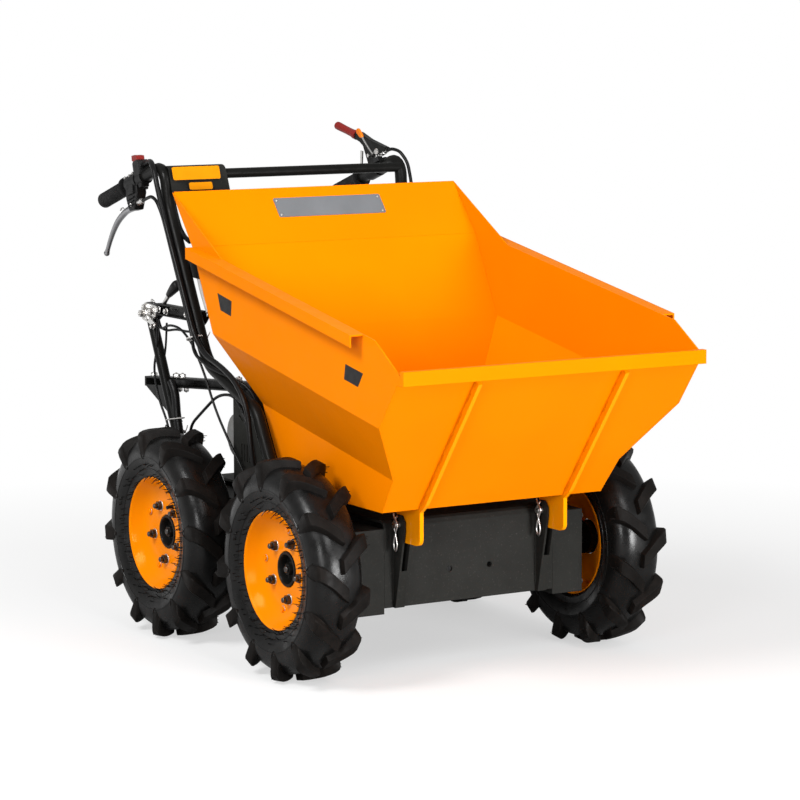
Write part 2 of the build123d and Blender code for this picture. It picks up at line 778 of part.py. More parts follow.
def fuel_tank():
    """Tank over the engine, with its cap."""
    tank = box(engine_x - 70, engine_x + 95, -70, 190, 562, 655)
    tank = fillet(tank.edges().filter_by(Axis.Z), 28)
    tank = chamfer(tank.faces().sort_by(Axis.Z)[-1].edges(), 12)
    cap = Pos(engine_x + 20, 60, 665) * Cylinder(30, 20)
    legs = box(engine_x + 50, engine_x + 70, 20, 90, 440, 562)
    return tank + cap + legs


def air_cleaner():
    """Air filter box behind the cylinder, left."""
    body = box(engine_x - 170, engine_x - 70, 70, 190, 562, 650)
    body = fillet(body.edges().filter_by(Axis.Z), 18)
    elbow = box(engine_x - 120, engine_x - 80, 62, 100, 500, 570)
    return body + elbow - engine_block()


def muffler():
    """Silencer beside the cylinder head, with its pipe, right."""
    body = box(engine_x + 34, engine_x + 92, -72, 14, 462, 540)
    body = fillet(body.edges().filter_by(Axis.Y), 20)
    pipe = bar_between((engine_x - 20, -20, 500), (engine_x + 40, -20, 500), 13)
    return body + pipe - engine_block()


# ---------------------------------------------------------------- chassis, below the deck
def gearbox():
    """Gearbox between the side cases."""
    body = box(-150, 60, -110, 110, 165, deck_top - sheet)
    body = fillet(body.edges().filter_by(Axis.Z), 20)
    shaft = rod_y(-60, 235, 16, -case_inner_y, case_inner_y)
    return body + shaft


def skip_rests():
    """Rubber buffers on the deck under the skip's floor."""
    pads = [
        Pos(110, y, (deck_top + skip_floor_z - face_gap) / 2)
        * Cylinder(16, skip_floor_z - face_gap - deck_top)
        for y in (-120, 120)
    ]
    return Compound(pads)


def write_all():
    wheels = [("front", wheelbase / 2), ("rear", -wheelbase / 2)]
    sides = [("left", 1), ("right", -1)]
    pieces = {"tyre": tyre(), "rim": rim(), "hub": hub()}
    for end, x in wheels:
        for side, sign in sides:
            for name, piece in pieces.items():
                placed = piece if sign > 0 else mirrored(piece)
                write(f"{name}_{end}_{side}", wheel_place(x, sign) * placed)
        write(f"{end}_axle", axle(x))
    case = drive_case()
    bracket = hinge_bracket()
    pin = hinge_pin()
    wall = side_wall() + rim_flange()
    rib = rib_and_tab()
    tube = handle_tube()
    grip_left = grip()
    write("drive_case_left", case)
    write("drive_case_right", mirrored(case))
    write("chassis_pan", deck() + bracket + mirrored(bracket))
    write("hinge_pins", Compound([pin, Pos(0, -2 * tab_y, 0) * pin]))
    write("gearbox", gearbox())
    write("skip_rests", skip_rests())
    write("engine_block", engine_block())
    write("blower_housing", blower_housing())
    write("fuel_tank", fuel_tank())
    write("air_cleaner", air_cleaner())
    write("muffler", muffler())
    write("handle_tube_left", tube)
    write("handle_tube_right", mirrored(tube))
    write("hand_grips", Compound([grip_left, mirrored(grip_left)]))
    write("crossbar", crossbar())
    write("label_panel", label_panel())
    write("brake_lever", mirrored(brake_lever()))
    write("stop_switch", mirrored(stop_switch()))
    write("clutch_lever", clutch_lever())
    write("throttle_lever", throttle_lever())
    write("shift_post", shift_post())
    write("shift_lever", shift_lever())
    write("upper_stay", upper_stay())
    write("side_shelf", side_shelf())
    write("belt_guard", belt_guard())
    write("skip_side_left", wall)
    write("skip_side_right", mirrored(wall))
    write("skip_floor", panel(3, 4))
    write("skip_back", panel(1, 3))
    write("skip_headboard", panel(0, 1))
    write("skip_front", panel(4, 5) + skip_lip())
    write("skip_ribs", Compound([rib, mirrored(rib)]))
    for name, (radius, points) in cables.items():
        write(name, cable(name, radius, points))


write_all()
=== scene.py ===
import random
from math import atan2, cos, pi, radians, sin, sqrt, tan

import bpy
import bmesh
from mathutils import Matrix, Vector


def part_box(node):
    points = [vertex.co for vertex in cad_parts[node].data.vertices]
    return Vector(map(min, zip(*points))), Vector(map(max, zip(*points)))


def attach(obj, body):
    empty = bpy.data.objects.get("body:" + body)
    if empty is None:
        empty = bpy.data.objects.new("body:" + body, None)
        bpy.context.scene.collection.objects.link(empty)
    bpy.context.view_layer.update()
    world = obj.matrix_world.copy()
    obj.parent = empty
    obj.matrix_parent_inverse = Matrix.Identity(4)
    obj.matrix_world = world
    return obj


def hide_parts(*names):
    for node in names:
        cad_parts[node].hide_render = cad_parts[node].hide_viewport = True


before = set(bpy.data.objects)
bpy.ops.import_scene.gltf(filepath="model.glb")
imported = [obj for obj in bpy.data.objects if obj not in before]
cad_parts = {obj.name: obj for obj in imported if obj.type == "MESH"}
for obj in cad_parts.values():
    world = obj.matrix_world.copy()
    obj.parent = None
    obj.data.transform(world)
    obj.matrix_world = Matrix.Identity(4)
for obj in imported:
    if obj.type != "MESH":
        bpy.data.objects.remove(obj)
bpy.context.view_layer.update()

random.seed(11)
MM = 0.001    # every shape is drawn in mm; piece() turns it into metres


# ======== mesh kit
class Mesh:
    """Vertices and faces collected from several shapes, in mm."""

    def __init__(self, verts=(), faces=()):
        self.verts = [Vector(v) for v in verts]
        self.faces = [list(f) for f in faces]

    def join(self, other, place=None):
        """Adds another mesh, moved by the matrix place."""
        base = len(self.verts)
        self.verts += [place @ v if place is not None else v for v in other.verts]
        self.faces += [[base + i for i in f] for f in other.faces]
        return self

    def mirror_y(self):
        return Mesh([(v.x, -v.y, v.z) for v in self.verts], [f[::-1] for f in self.faces])


def both(mesh):
    """The mesh and its mirror image on the machine's other side."""
    return Mesh().join(mesh).join(mesh.mirror_y())


def rings(count, size, wrap=False):
    """Quads between rings of vertices, stored ring after ring; wrap joins the last ring to the first."""
    faces = []
    for i in range(count if wrap else count - 1):
        a, b = i * size, (i + 1) % count * size
        for j in range(size):
            k = (j + 1) % size
            faces.append([a + j, a + k, b + k, b + j])
    return faces


def skin(verts, count, size):
    """Closed form over rings of vertices, with a cap on each end."""
    last = (count - 1) * size
    caps = [list(range(size))[::-1], [last + j for j in range(size)]]
    return Mesh(verts, rings(count, size) + caps)


def lathe(profile, segments):
    """Ring turned about the Y axis from a closed profile of (radius, y)."""
    verts = []
    for i in range(segments):
        angle = 2 * pi * i / segments
        verts += [(r * sin(angle), y, -r * cos(angle)) for r, y in profile]
    return Mesh(verts, rings(segments, len(profile), True))


def rounded(points, radius, steps):
    """The 2D outline with each corner cut back and rounded."""
    result = []
    for i, p in enumerate(points):
        p = Vector(p)
        before = Vector(points[i - 1]) - p
        after = Vector(points[(i + 1) % len(points)]) - p
        cut = min(radius, 0.45 * before.length, 0.45 * after.length)
        a = p + before.normalized() * cut
        b = p + after.normalized() * cut
        for k in range(steps + 1):
            t = k / steps
            result.append(a * (1 - t) ** 2 + p * 2 * t * (1 - t) + b * t * t)
    return result


def rectangle(u0, u1, v0, v1, corner=0):
    """Outline of a rectangle, its corners rounded if asked."""
    outline = [(u0, v0), (u1, v0), (u1, v1), (u0, v1)]
    return rounded(outline, corner, 4) if corner else outline


def plate(outline, y0, y1, bevel=0.6):
    """Flat plate drawn in XZ between y0 and y1, its edges bevelled."""
    centre = sum((Vector(p) for p in outline), Vector((0, 0))) / len(outline)
    verts = []
    for y, inward in ((y0, bevel), (y0 + bevel, 0), (y1 - bevel, 0), (y1, bevel)):
        for p in outline:
            away = Vector(p) - centre
            x, z = centre + away * max(1 - inward / away.length, 0)
            verts.append((x, y, z))
    return skin(verts, 4, len(outline))


def level_plate(outline, z0, z1):
    """Flat plate drawn in XY between z0 and z1."""
    upright = plate(outline, z0, z1, 0.8)
    return Mesh([(v.x, v.z, v.y) for v in upright.verts], [f[::-1] for f in upright.faces])


def slab(outline, back, thick, place):
    """Thin plate on a face; place(u, v, lift) puts its outline's points in space."""
    verts = [place(u, v, lift) for lift in (back, back + thick) for u, v in outline]
    return skin(verts, 2, len(outline))


def on_slope(top, low, across, down, lift):
    """Point on the face that falls from top to low: y, distance down it, and height above it."""
    fall = (low - top).normalized()
    out = Vector((-fall.z, 0, fall.x))
    return top + fall * down + out * lift + Vector((0, across, 0))


def smooth_path(points, per_span):
    """Catmull-Rom curve through the points."""
    pts = [Vector(p) for p in points]
    pts = [pts[0] * 2 - pts[1]] + pts + [pts[-1] * 2 - pts[-2]]
    path = []
    for i in range(1, len(pts) - 2):
        p0, p1, p2, p3 = pts[i - 1:i + 3]
        for k in range(per_span):
            t = k / per_span
            path.append(0.5 * (
                2 * p1 + (p2 - p0) * t + (2 * p0 - 5 * p1 + 4 * p2 - p3) * t * t
                + (3 * p1 - p0 - 3 * p2 + p3) * t ** 3))
    path.append(pts[-2])
    return path


def route(points, radii=None):
    """Path through the points with round bends. Without radii the bends fill 0.9 of each run."""
    pts = [Vector(p) for p in points]
    path = [pts[0]]
    for i in range(1, len(pts) - 1):
        into = pts[i - 1] - pts[i]
        away = pts[i + 1] - pts[i]
        turn = pi - into.angle(away)
        if radii:
            reach = radii[i - 1] * tan(turn / 2)
        else:
            reach = 0.45 * min(into.length, away.length)
        radius = reach / tan(turn / 2)
        centre = pts[i] + (into.normalized() + away.normalized()).normalized() * (radius / cos(turn / 2))
        u = pts[i] + into.normalized() * reach - centre
        v = pts[i] + away.normalized() * reach - centre
        for k in range(7):
            t = k / 6
            path.append(centre + (u * sin((1 - t) * turn) + v * sin(t * turn)) / sin(turn))
    path.append(pts[-1])
    return path


def tube(path, radius, sides):
    """Round bar along a path; radius is a number or one for each point."""
    path = [Vector(p) for p in path]
    radii = radius if isinstance(radius, list) else [radius] * len(path)
    last = len(path) - 1
    tangents = [(path[min(i + 1, last)] - path[max(i - 1, 0)]).normalized() for i in range(len(path))]
    side = tangents[0].orthogonal().normalized()
    if abs(tangents[0].y) < 0.7:
        side = (Vector((0, 1, 0)) - tangents[0] * tangents[0].y).normalized()
    verts = []
    for p, t, r in zip(path, tangents, radii):
        side = (side - t * side.dot(t)).normalized()
        other = t.cross(side)
        for j in range(sides):
            angle = 2 * pi * j / sides
            verts.append(p + side * (r * cos(angle)) + other * (r * sin(angle)))
    return skin(verts, len(path), sides)


def rod(a, b, radius, sides, chamfer=0):
    """Straight round bar from a to b, its ends chamfered if asked."""
    a, b = Vector(a), Vector(b)
    if not chamfer:
        return tube([a, b], radius, sides)
    cut = (b - a).normalized() * chamfer
    return tube([a, a + cut, b - cut, b], [radius - chamfer, radius, radius, radius - chamfer], sides)


def turned(profile, a, b, sides):
    """Solid turned round the line from a to b; profile holds (share of the line, radius)."""
    a, b = Vector(a), Vector(b)
    return tube([a.lerp(b, t) for t, _ in profile], [r for _, r in profile], sides)


def spread(values, count):
    """The values drawn out to count numbers, evenly and in straight lines."""
    result = []
    for i in range(count):
        t = i / (count - 1) * (len(values) - 1)
        k = min(int(t), len(values) - 2)
        result.append(values[k] + (values[k + 1] - values[k]) * (t - k))
    return result


def facing(direction, at):
    """Matrix that turns +Z to the direction and moves to at."""
    turn = Vector(direction).to_track_quat("Z", "Y").to_matrix().to_4x4()
    return Matrix.Translation(Vector(at)) @ turn


def washer(radius, height):
    return rod((0, 0, 0), (0, 0, height), radius, 24, height * 0.3)


def hex_nut(width, height, stud=0):
    """Hexagonal nut on the XY plane, its top chamfered; stud is the radius of the bolt's end on it."""
    r = width / sqrt(3)
    verts = []
    for radius, z in ((r, 0), (r, height * 0.82), (r * 0.9, height)):
        angles = [pi / 3 * i for i in range(6)]
        verts += [(radius * cos(a), radius * sin(a), z) for a in angles]
    mesh = skin(verts, 3, 6)
    if stud:
        mesh.join(rod((0, 0, height * 0.9), (0, 0, height + stud), stud, 16, stud * 0.25))
    return mesh


def bolt(at, direction, width, height, disc=0):
    """Hexagonal bolt head; disc is the radius of a washer below it."""
    place = facing(direction, at)
    mesh = Mesh()
    if disc:
        mesh.join(washer(disc, 1.4), place)
        place = place @ Matrix.Translation((0, 0, 1.3))
    return mesh.join(hex_nut(width, height, width * 0.2), place)


def bolts(places, direction, width, height, disc=0):
    """The same bolt at several places."""
    mesh = Mesh()
    for at in places:
        mesh.join(bolt(at, direction, width, height, disc))
    return mesh


def ball(centre, radius):
    angles = [pi * (0.04 + 0.92 * i / 8) for i in range(9)]
    profile = [(radius * sin(a), -radius * cos(a)) for a in angles]
    return Mesh().join(lathe(profile, 16), Matrix.Translation(centre))


def wire_ring(centre, radius, wire, axis, turns=1):
    """Ring of wire round an axis through a point; with more than one turn it climbs."""
    place = facing(axis, centre)
    climb = wire / pi if turns > 1 else 0
    angles = [2 * pi * i / 24 for i in range(int(24 * turns) + 1)]
    path = [place @ Vector((radius * cos(a), radius * sin(a), climb * a)) for a in angles]
    return tube(path, wire, 8)


def weld(a, b, radius):
    """Bead of overlapping ripples from a to b, one every 4 mm."""
    a, b = Vector(a), Vector(b)
    count = int((b - a).length / 4) * 2
    path = [a.lerp(b, i / count) for i in range(count + 1)]
    radii = [radius * (1.0 if i % 2 else 0.72) * random.uniform(0.9, 1.1) for i in range(count + 1)]
    return tube(path, radii, 8)


# ======== materials
def add_node(tree, kind, inputs, **settings):
    """New shader node with its settings and its inputs, each a constant or another node's socket."""
    node = tree.nodes.new("ShaderNode" + kind)
    for key, value in settings.items():
        setattr(node, key, value)
    feed(tree, node, inputs)
    return node


def feed(tree, node, inputs):
    for key, value in inputs.items():
        if isinstance(value, bpy.types.NodeSocket):
            tree.links.new(value, node.inputs[key])
        else:
            node.inputs[key].default_value = value


class Shader:
    """Small helper round one Principled material."""

    def __init__(self, name):
        self.material = bpy.data.materials.new(name)
        self.material.use_nodes = True
        self.tree = self.material.node_tree
        self.main = self.tree.nodes["Principled BSDF"]
        self.place = self.node("TexCoord", {}).outputs["Object"]

    def node(self, kind, inputs, **settings):
        return add_node(self.tree, kind, inputs, **settings)

    def noise(self, scale, detail, roughness=0.5):
        inputs = {"Scale": scale, "Detail": detail, "Roughness": roughness, "Vector": self.place}
        return self.node("TexNoise", inputs).outputs["Fac"]

    def ramp(self, value, low, low_colour, high, high_colour):
        """Colour ramp between two places on the value."""
        node = self.node("ValToRGB", {"Fac": value})
        stops = ((low, low_colour), (high, high_colour))
        for element, (position, colour) in zip(node.color_ramp.elements, stops):
            element.position = position
            element.color = (*colour, 1)
        return node.outputs["Color"]

    def span(self, value, low, high, out_low, out_high):
        inputs = {"Value": value, "From Min": low, "From Max": high, "To Min": out_low, "To Max": out_high}
        return self.node("MapRange", inputs).outputs["Result"]

    def mix(self, factor, a, b):
        inputs = {0: factor}
        for key, value in ((6, a), (7, b)):
            inputs[key] = (*value, 1) if isinstance(value, tuple) else value
        return self.node("Mix", inputs, data_type="RGBA").outputs[2]

    def bump(self, height, strength, distance, normal=None):
        inputs = {"Height": height, "Strength": strength, "Distance": distance}
        if normal is not None:
            inputs["Normal"] = normal
        return self.node("Bump", inputs).outputs["Normal"]

    def soft_edges(self, radius):
        """Normal with its edges rounded, or None for no radius."""
        if not radius:
            return None
        return self.node("Bevel", {"Radius": radius}, samples=4).outputs["Normal"]

    def finish(self, colour, rough, normal, **rest):
        inputs = {"Base Color": colour, "Roughness": rough, "Normal": normal}
        names = {"shine": "Specular IOR Level", "tint": "Specular Tint", "metallic": "Metallic"}
        inputs.update({names[key]: value for key, value in rest.items()})
        feed(self.tree, self.main, inputs)
        return self.material


def grey(value):
    return (value, value, value)


def scaled(colour, factor, more=0):
    return tuple(factor * c + more for c in colour)


def enamel(name, colour, edge=0.0016, gloss=0.36, shine=0.03):
    """Powder-coated steel: faint mottling, orange-peel and softened sheet edges."""
    s = Shader(name)
    tone = s.ramp(s.noise(5, 2), 0.3, scaled(colour, 0.93), 0.7, colour)
    specks = s.ramp(s.noise(900, 2, 0.7), 0.62, grey(0), 0.8, grey(0.25))
    rough = s.span(s.noise(40, 4), 0.3, 0.7, gloss - 0.05, gloss + 0.09)
    normal = s.bump(s.noise(650, 2), 0.16, 0.0005, s.soft_edges(edge))
    speckled = s.mix(specks, tone, scaled(colour, 0.8))
    return s.finish(speckled, rough, normal, shine=shine, tint=(1, 0.62, 0.2, 1))


def coat(name, colour, dust, shine, gloss=0.5, grain=900, strength=0.25):
    """Dark textured coating with a little dust in the grain."""
    s = Shader(name)
    tone = s.ramp(s.noise(9, 4, 0.6), 0.35, colour, 0.75, scaled(colour, 1.3, 0.001))
    specks = s.ramp(s.noise(260, 3, 0.7), 0.6, grey(0), 0.78, grey(dust))
    rough = s.span(s.noise(60, 4), 0.3, 0.7, gloss - 0.07, gloss + 0.1)
    normal = s.bump(s.noise(grain, 2), strength, 0.0003, s.soft_edges(0.001))
    return s.finish(s.mix(specks, tone, (0.10, 0.09, 0.08)), rough, normal, shine=shine)


def rubber(name, colour, gloss, dust, shine, edge=0.0012):
    """Moulded rubber: dark, a little blotchy, with brown dust on its high places."""
    s = Shader(name)
    tone = s.ramp(s.noise(22, 5, 0.65), 0.35, colour, 0.7, scaled(colour, 1.6, 0.001))
    dusty = s.span(s.noise(11, 4, 0.7), 0.5, 0.78, 0, dust)
    rough = s.span(s.noise(35, 4), 0.3, 0.7, gloss - 0.14, gloss + 0.12)
    fine = s.bump(s.noise(420, 4, 0.6), 0.25, 0.0005, s.soft_edges(edge))
    normal = s.bump(s.noise(60, 3), 0.3, 0.0012, fine)
    return s.finish(s.mix(dusty, tone, (0.018, 0.013, 0.011)), rough, normal, shine=shine)


def metal(name, colour, gloss=0.3, grain=120, film=(0.3, 0.26, 0.22)):
    """Plated or bare metal with fine scratches and a dull film."""
    s = Shader(name)
    dull = s.ramp(s.noise(70, 5, 0.7), 0.45, grey(0), 0.85, grey(0.5))
    rough = s.span(s.noise(grain, 4), 0.25, 0.75, gloss - 0.08, gloss + 0.16)
    normal = s.bump(s.noise(grain * 5, 2), 0.12, 0.0003)
    return s.finish(s.mix(dull, colour, film), rough, normal, metallic=1)


def plastic(name, colour, gloss, shine=0.2):
    """Moulded plastic with a fine grain."""
    s = Shader(name)
    tone = s.ramp(s.noise(18, 3), 0.35, scaled(colour, 0.88), 0.7, colour)
    rough = s.span(s.noise(90, 3), 0.3, 0.7, gloss - 0.06, gloss + 0.08)
    return s.finish(tone, rough, s.bump(s.noise(500, 2), 0.15, 0.0003), shine=shine)


orange = enamel("orange_enamel", (0.9, 0.225, 0))
# The ribs and hinge tabs are the skip's own orange enamel. This brighter, glossier copy is painted light on
# their faces, which lie in the skip's shade.
rib_orange_painted_light = enamel("rib_enamel_painted_light", (1, 0.33, 0), edge=0, gloss=0.16, shine=0.14)
rim_orange = enamel("rim_enamel", (0.92, 0.25, 0), edge=0, gloss=0.16, shine=0.14)
frame_coat = coat("frame_coat", (0.0165, 0.0165, 0.0150), 0.4, 0.06)
black_coat = coat("black_coat", (0.0055, 0.0055, 0.0050), 0.1, 0.1, gloss=0.32, grain=500, strength=0.12)
tyre_rubber = rubber("tyre_rubber", (0.0030, 0.0029, 0.0028), gloss=0.32, dust=0.1, shine=0.24, edge=0)
tread_rubber = rubber("tread_rubber", (0.0050, 0.0042, 0.0037), gloss=0.5, dust=0.6, shine=0.08)
soft_rubber = rubber("grip_rubber", grey(0.006), gloss=0.55, dust=0.1, shine=0.14)
cable_sheath = plastic("cable_sheath", grey(0.005), gloss=0.36)
black_plastic = plastic("black_plastic", grey(0.007), gloss=0.42)
zinc = metal("zinc_plate", (0.72, 0.71, 0.69), gloss=0.28)
black_zinc = metal("black_zinc", (0.10, 0.095, 0.09), film=(0.03, 0.03, 0.03))
cast_alloy = metal("cast_alloy", (0.50, 0.50, 0.49), gloss=0.48, grain=220)
polished_alloy = metal("polished_alloy", (0.36, 0.36, 0.37), gloss=0.24, grain=60, film=(0.2, 0.2, 0.2))
red_plastic = plastic("red_plastic", (0.24, 0.014, 0.010), gloss=0.3)
red_rubber = plastic("red_sleeve", (0.26, 0.016, 0.012), gloss=0.5)
orange_plastic = plastic("orange_plastic", (0.90, 0.21, 0.005), gloss=0.35)
yellow_plate = plastic("yellow_plate", (0.74, 0.26, 0.003), gloss=0.32, shine=0.03)
grey_plate = plastic("grey_plate", (0.17, 0.18, 0.19), gloss=0.35)
decal_black = plastic("decal_black", (0.010, 0.0095, 0.0095), gloss=0.42)
tie_plastic = plastic("tie_plastic", (0.50, 0.49, 0.47), gloss=0.4)


def show(name, data):
    """Puts an object with the data in the scene."""
    obj = bpy.data.objects.new(name, data)
    bpy.context.scene.collection.objects.link(obj)
    return obj


def piece(name, mesh, material, replaces=(), slot=None, body="chassis", smooth=38):
    """Makes the object, with edges sharper than smooth degrees kept hard."""
    data = bpy.data.meshes.new(name)
    data.from_pydata([v * MM for v in mesh.verts], [], mesh.faces)
    bm = bmesh.new()
    bm.from_mesh(data)
    bmesh.ops.recalc_face_normals(bm, faces=bm.faces)
    for f in bm.faces:
        f.smooth = True
    for e in bm.edges:
        if len(e.link_faces) == 2 and e.calc_face_angle(0) > radians(smooth):
            e.smooth = False
    bm.to_mesh(data)
    bm.free()
    data.materials.append(material)
    obj = show(name, data)
    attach(obj, body)
    if replaces:
        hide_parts(*replaces)


# ======== CAD nodes kept as they are
NODE_FINISH = {    # by the start of the node's name, the first that fits; the rest is black
    "skip_rests": soft_rubber, "skip_ribs": rib_orange_painted_light, "skip_": orange, "chassis_pan": frame_coat,
    "drive_case": frame_coat, "belt_guard": frame_coat, "hinge_pins": zinc, "engine_block": cast_alloy,
    "fuel_tank": black_plastic, "air_cleaner": black_plastic,
}
for node_name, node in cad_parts.items():
    fitting = [finish for start, finish in NODE_FINISH.items() if node_name.startswith(start)]
    node.data.materials.clear()
    node.data.materials.append((fitting + [black_coat])[0])
    for polygon in node.data.polygons:
        polygon.use_smooth = True


# ======== wheels, drawn about the Y axis
TREAD_RADIUS = 207.5
TYRE_HALF_WIDTH = 55
LUGS_PER_SIDE = 12
HAIRS_PER_LUG = 5
BEAD_HAIRS = 132
STUD_CIRCLE = 56
BOLT_CIRCLE = 77
OUTWARD = (0, 1, 0)
FIRST_NUT = {    # angle of each wheel's first nut from the top, in degrees
    "front_left": 12, "front_right": -46, "rear_left": 50, "rear_right": -30,
}
CARCASS_HALF = [    # half section of the bare tyre from the crown to the bead: radius, y
    (195, 0), (194.8, 12), (193.4, 24), (189.6, 34), (183.6, 42), (175.8, 47.6), (167, 50.8),
    (158, 52), (152.6, 52.2), (152, 53), (150, 53), (149.4, 52), (142, 50.4), (135, 47.8),
    (129.5, 45.6), (129, 46.2), (127, 45.4), (126.4, 44.2), (121, 42.6), (116, 41.6), (113.4, 41),
    (111.8, 40), (110.6, 38), (107.4, 34), (103, 31),
]
LUG_STATIONS = [    # along a lug from the tread's middle to its foot on the sidewall:
    # radius and y at the root, radius and y at the top, place along the tread, half widths at root and top
    (189, -6, 203.5, -5, 19.5, 14, 10.5),
    (189.5, -5, 207.2, -4, 18.6, 16.5, 13),
    (190, 4, 207.5, 4, 11.5, 17, 13.8),
    (190, 13, 207.4, 13.5, 2.5, 17.2, 14),
    (188.5, 22, 207, 24, -7.5, 17.5, 14.2),
    (185.5, 31, 206.2, 35, -16, 17.8, 14.4),
    (180.5, 38, 204.2, 44.5, -22.5, 18.2, 14.6),
    (174.5, 43, 200.5, 51.5, -26.5, 18.5, 14.6),
    (168.5, 46.5, 194.5, 54.4, -28.5, 18.5, 14.2),
    (163, 48.8, 186, 54.9, -29.6, 18, 13.2),
    (158.5, 50.2, 176, 54.8, -30, 16.5, 11.4),
    (154, 50.9, 166, 54, -30, 14, 8.6),
    (151, 51, 160, 53, -30, 11.5, 6),
]
LUG_SECTION = [    # across a lug: side, share of the root's width, share of the top's, height share
    (-1, 1.15, 0, -0.10), (-1, 1, 0, 0.08), (-1, 0.12, 0.88, 0.90), (-1, 0, 0.90, 1),
    (1, 0, 0.90, 1), (1, 0.12, 0.88, 0.90), (1, 1, 0, 0.08), (1, 1.15, 0, -0.10),
]


def on_tread(radius, y, along):
    """Point at a radius and y, moved along the tread from the top."""
    angle = along / TREAD_RADIUS
    return Vector((radius * sin(angle), y, radius * cos(angle)))


def smooth_rows(rows):
    """The rows with one more half way between each two."""
    result = []
    for a, b in zip(rows, rows[1:]):
        result += [a, tuple((p + q) / 2 for p, q in zip(a, b))]
    return result + [rows[-1]]


def lug_mesh():
    """One lug of the outer row at the tyre's top, leading towards +X, with the bent rib round its foot."""
    verts = []
    rows = smooth_rows(LUG_STATIONS)
    for root_r, root_y, top_r, top_y, along, root_w, top_w in rows:
        for side, root_share, top_share, height in LUG_SECTION:
            r = root_r + (top_r - root_r) * height
            y = root_y + (top_y - root_y) * height
            verts.append(on_tread(r, y, along + side * (root_w * root_share + top_w * top_share)))
    foot = [(172, 47.5, -11), (160, 50.6, -18), (149, 51.6, -30), (160, 50.6, -42), (172, 47.5, -49)]
    rib = tube(smooth_path([on_tread(*p) for p in foot], 3), 2.2, 6)
    return skin(verts, len(rows), len(LUG_SECTION)).join(rib)


def hair(at, direction, length):
    """Thin curved spur of rubber left by the mould, kept inside the tyre's width."""
    direction = Vector(direction).normalized()
    bend = Vector([random.uniform(-1, 1) for _ in range(3)]) * length * 0.25
    path = [at - direction * 2, at + direction * length * 0.5 + bend * 0.3, at + direction * length + bend]
    for point in path:
        point.y = min(point.y, TYRE_HALF_WIDTH - 1.5)
    return tube(path, [1.08, 0.9, 0.45], 5)


def carcass_mesh():
    """Bare tyre with the mould's hairs round its bead, outer side at +Y."""
    inner_half = [(r, -y) for r, y in reversed(CARCASS_HALF[1:])]
    mesh = lathe(CARCASS_HALF + [(102, 0)] + inner_half, 160)
    for i in range(BEAD_HAIRS):
        angle = 2 * pi * (i + random.uniform(-0.35, 0.35)) / BEAD_HAIRS
        r, y = random.choice(((112.8, 40), (118, 41.8), (127.5, 45.2), (136, 48.5)))
        inward = random.uniform(-0.9, 0.3)
        x, z = sin(angle), cos(angle)
        mesh.join(hair(Vector((r * x, y, r * z)), (x * inward, 0.9, z * inward), random.uniform(7, 15)))
    return mesh


def tread_mesh():
    """Both staggered rows of lugs, with hairs on the lugs' ends."""
    block = lug_mesh()
    mesh = Mesh()
    for i in range(LUGS_PER_SIDE):
        for side in (1, -1):
            step = i if side > 0 else i + 0.5
            turn = Matrix.Rotation(2 * pi * step / LUGS_PER_SIDE, 4, "Y")
            mesh.join(block if side > 0 else block.mirror_y(), turn)
            for _ in range(HAIRS_PER_LUG):
                at = on_tread(random.uniform(180, 197), side * 52, random.uniform(-38, -16))
                out = (random.uniform(-0.3, 0.3), side, random.uniform(-0.2, 0.5))
                mesh.join(hair(at, out, random.uniform(5, 11)), turn)
    return mesh


def rim_mesh():
    """Pressed rim with its bowl, outer side at +Y."""
    return lathe([
        (111.4, 38.4), (111.4, 40.4), (110.2, 41.2), (108.8, 40.6), (106.4, 36.6), (102.8, 31.4),
        (98.4, 26), (94.6, 21.6), (89.6, 17.6), (83.4, 14.2), (76, 11.8), (68, 10.5), (60, 10),
        (38, 10), (35, 10.3), (34, 9.6), (34, 6.6), (36, 6.1), (84, 6.1), (90.2, 2),
        (90.2, -9), (95, -17), (97.5, -22), (99, -28), (104, -33.5), (105.2, -37), (106.8, -39),
        (108.5, -38.5), (108.4, -36.5), (106.5, -34), (102, -29.5), (100.5, -24), (94, -10), (93.8, 9),
        (97, 14), (100.5, 20), (103.4, 27), (105.8, 31), (109, 36),
    ], 128)


def hub_mesh():
    """Hub in the disc's bore: a flange round a recess that holds the axle's nut."""
    mesh = lathe([
        (0.6, -9), (32, -9), (32, 5.6), (33.6, 5.6), (33.6, 10.4), (32.4, 12.2), (28.4, 12.2), (27, 10.8),
        (25.6, 2), (24.6, -2), (0.6, -2),
    ], 48)
    mesh.join(turned([(0, 13.5), (0.9, 13.5), (1, 12.5)], (0, -2, 0), (0, 2, 0), 24))
    return mesh.join(hex_nut(21, 8), facing(OUTWARD, (0, 2, 0)))


def ring_place(angle, radius, y):
    """Place on the wheel's face at an angle from the top, in degrees, with +Z outward."""
    a = radians(angle)
    return facing(OUTWARD, (radius * sin(a), y, radius * cos(a)))


carcass_shape = carcass_mesh()
tread_shape = tread_mesh()
rim_shape = rim_mesh()
hub_shape = hub_mesh()


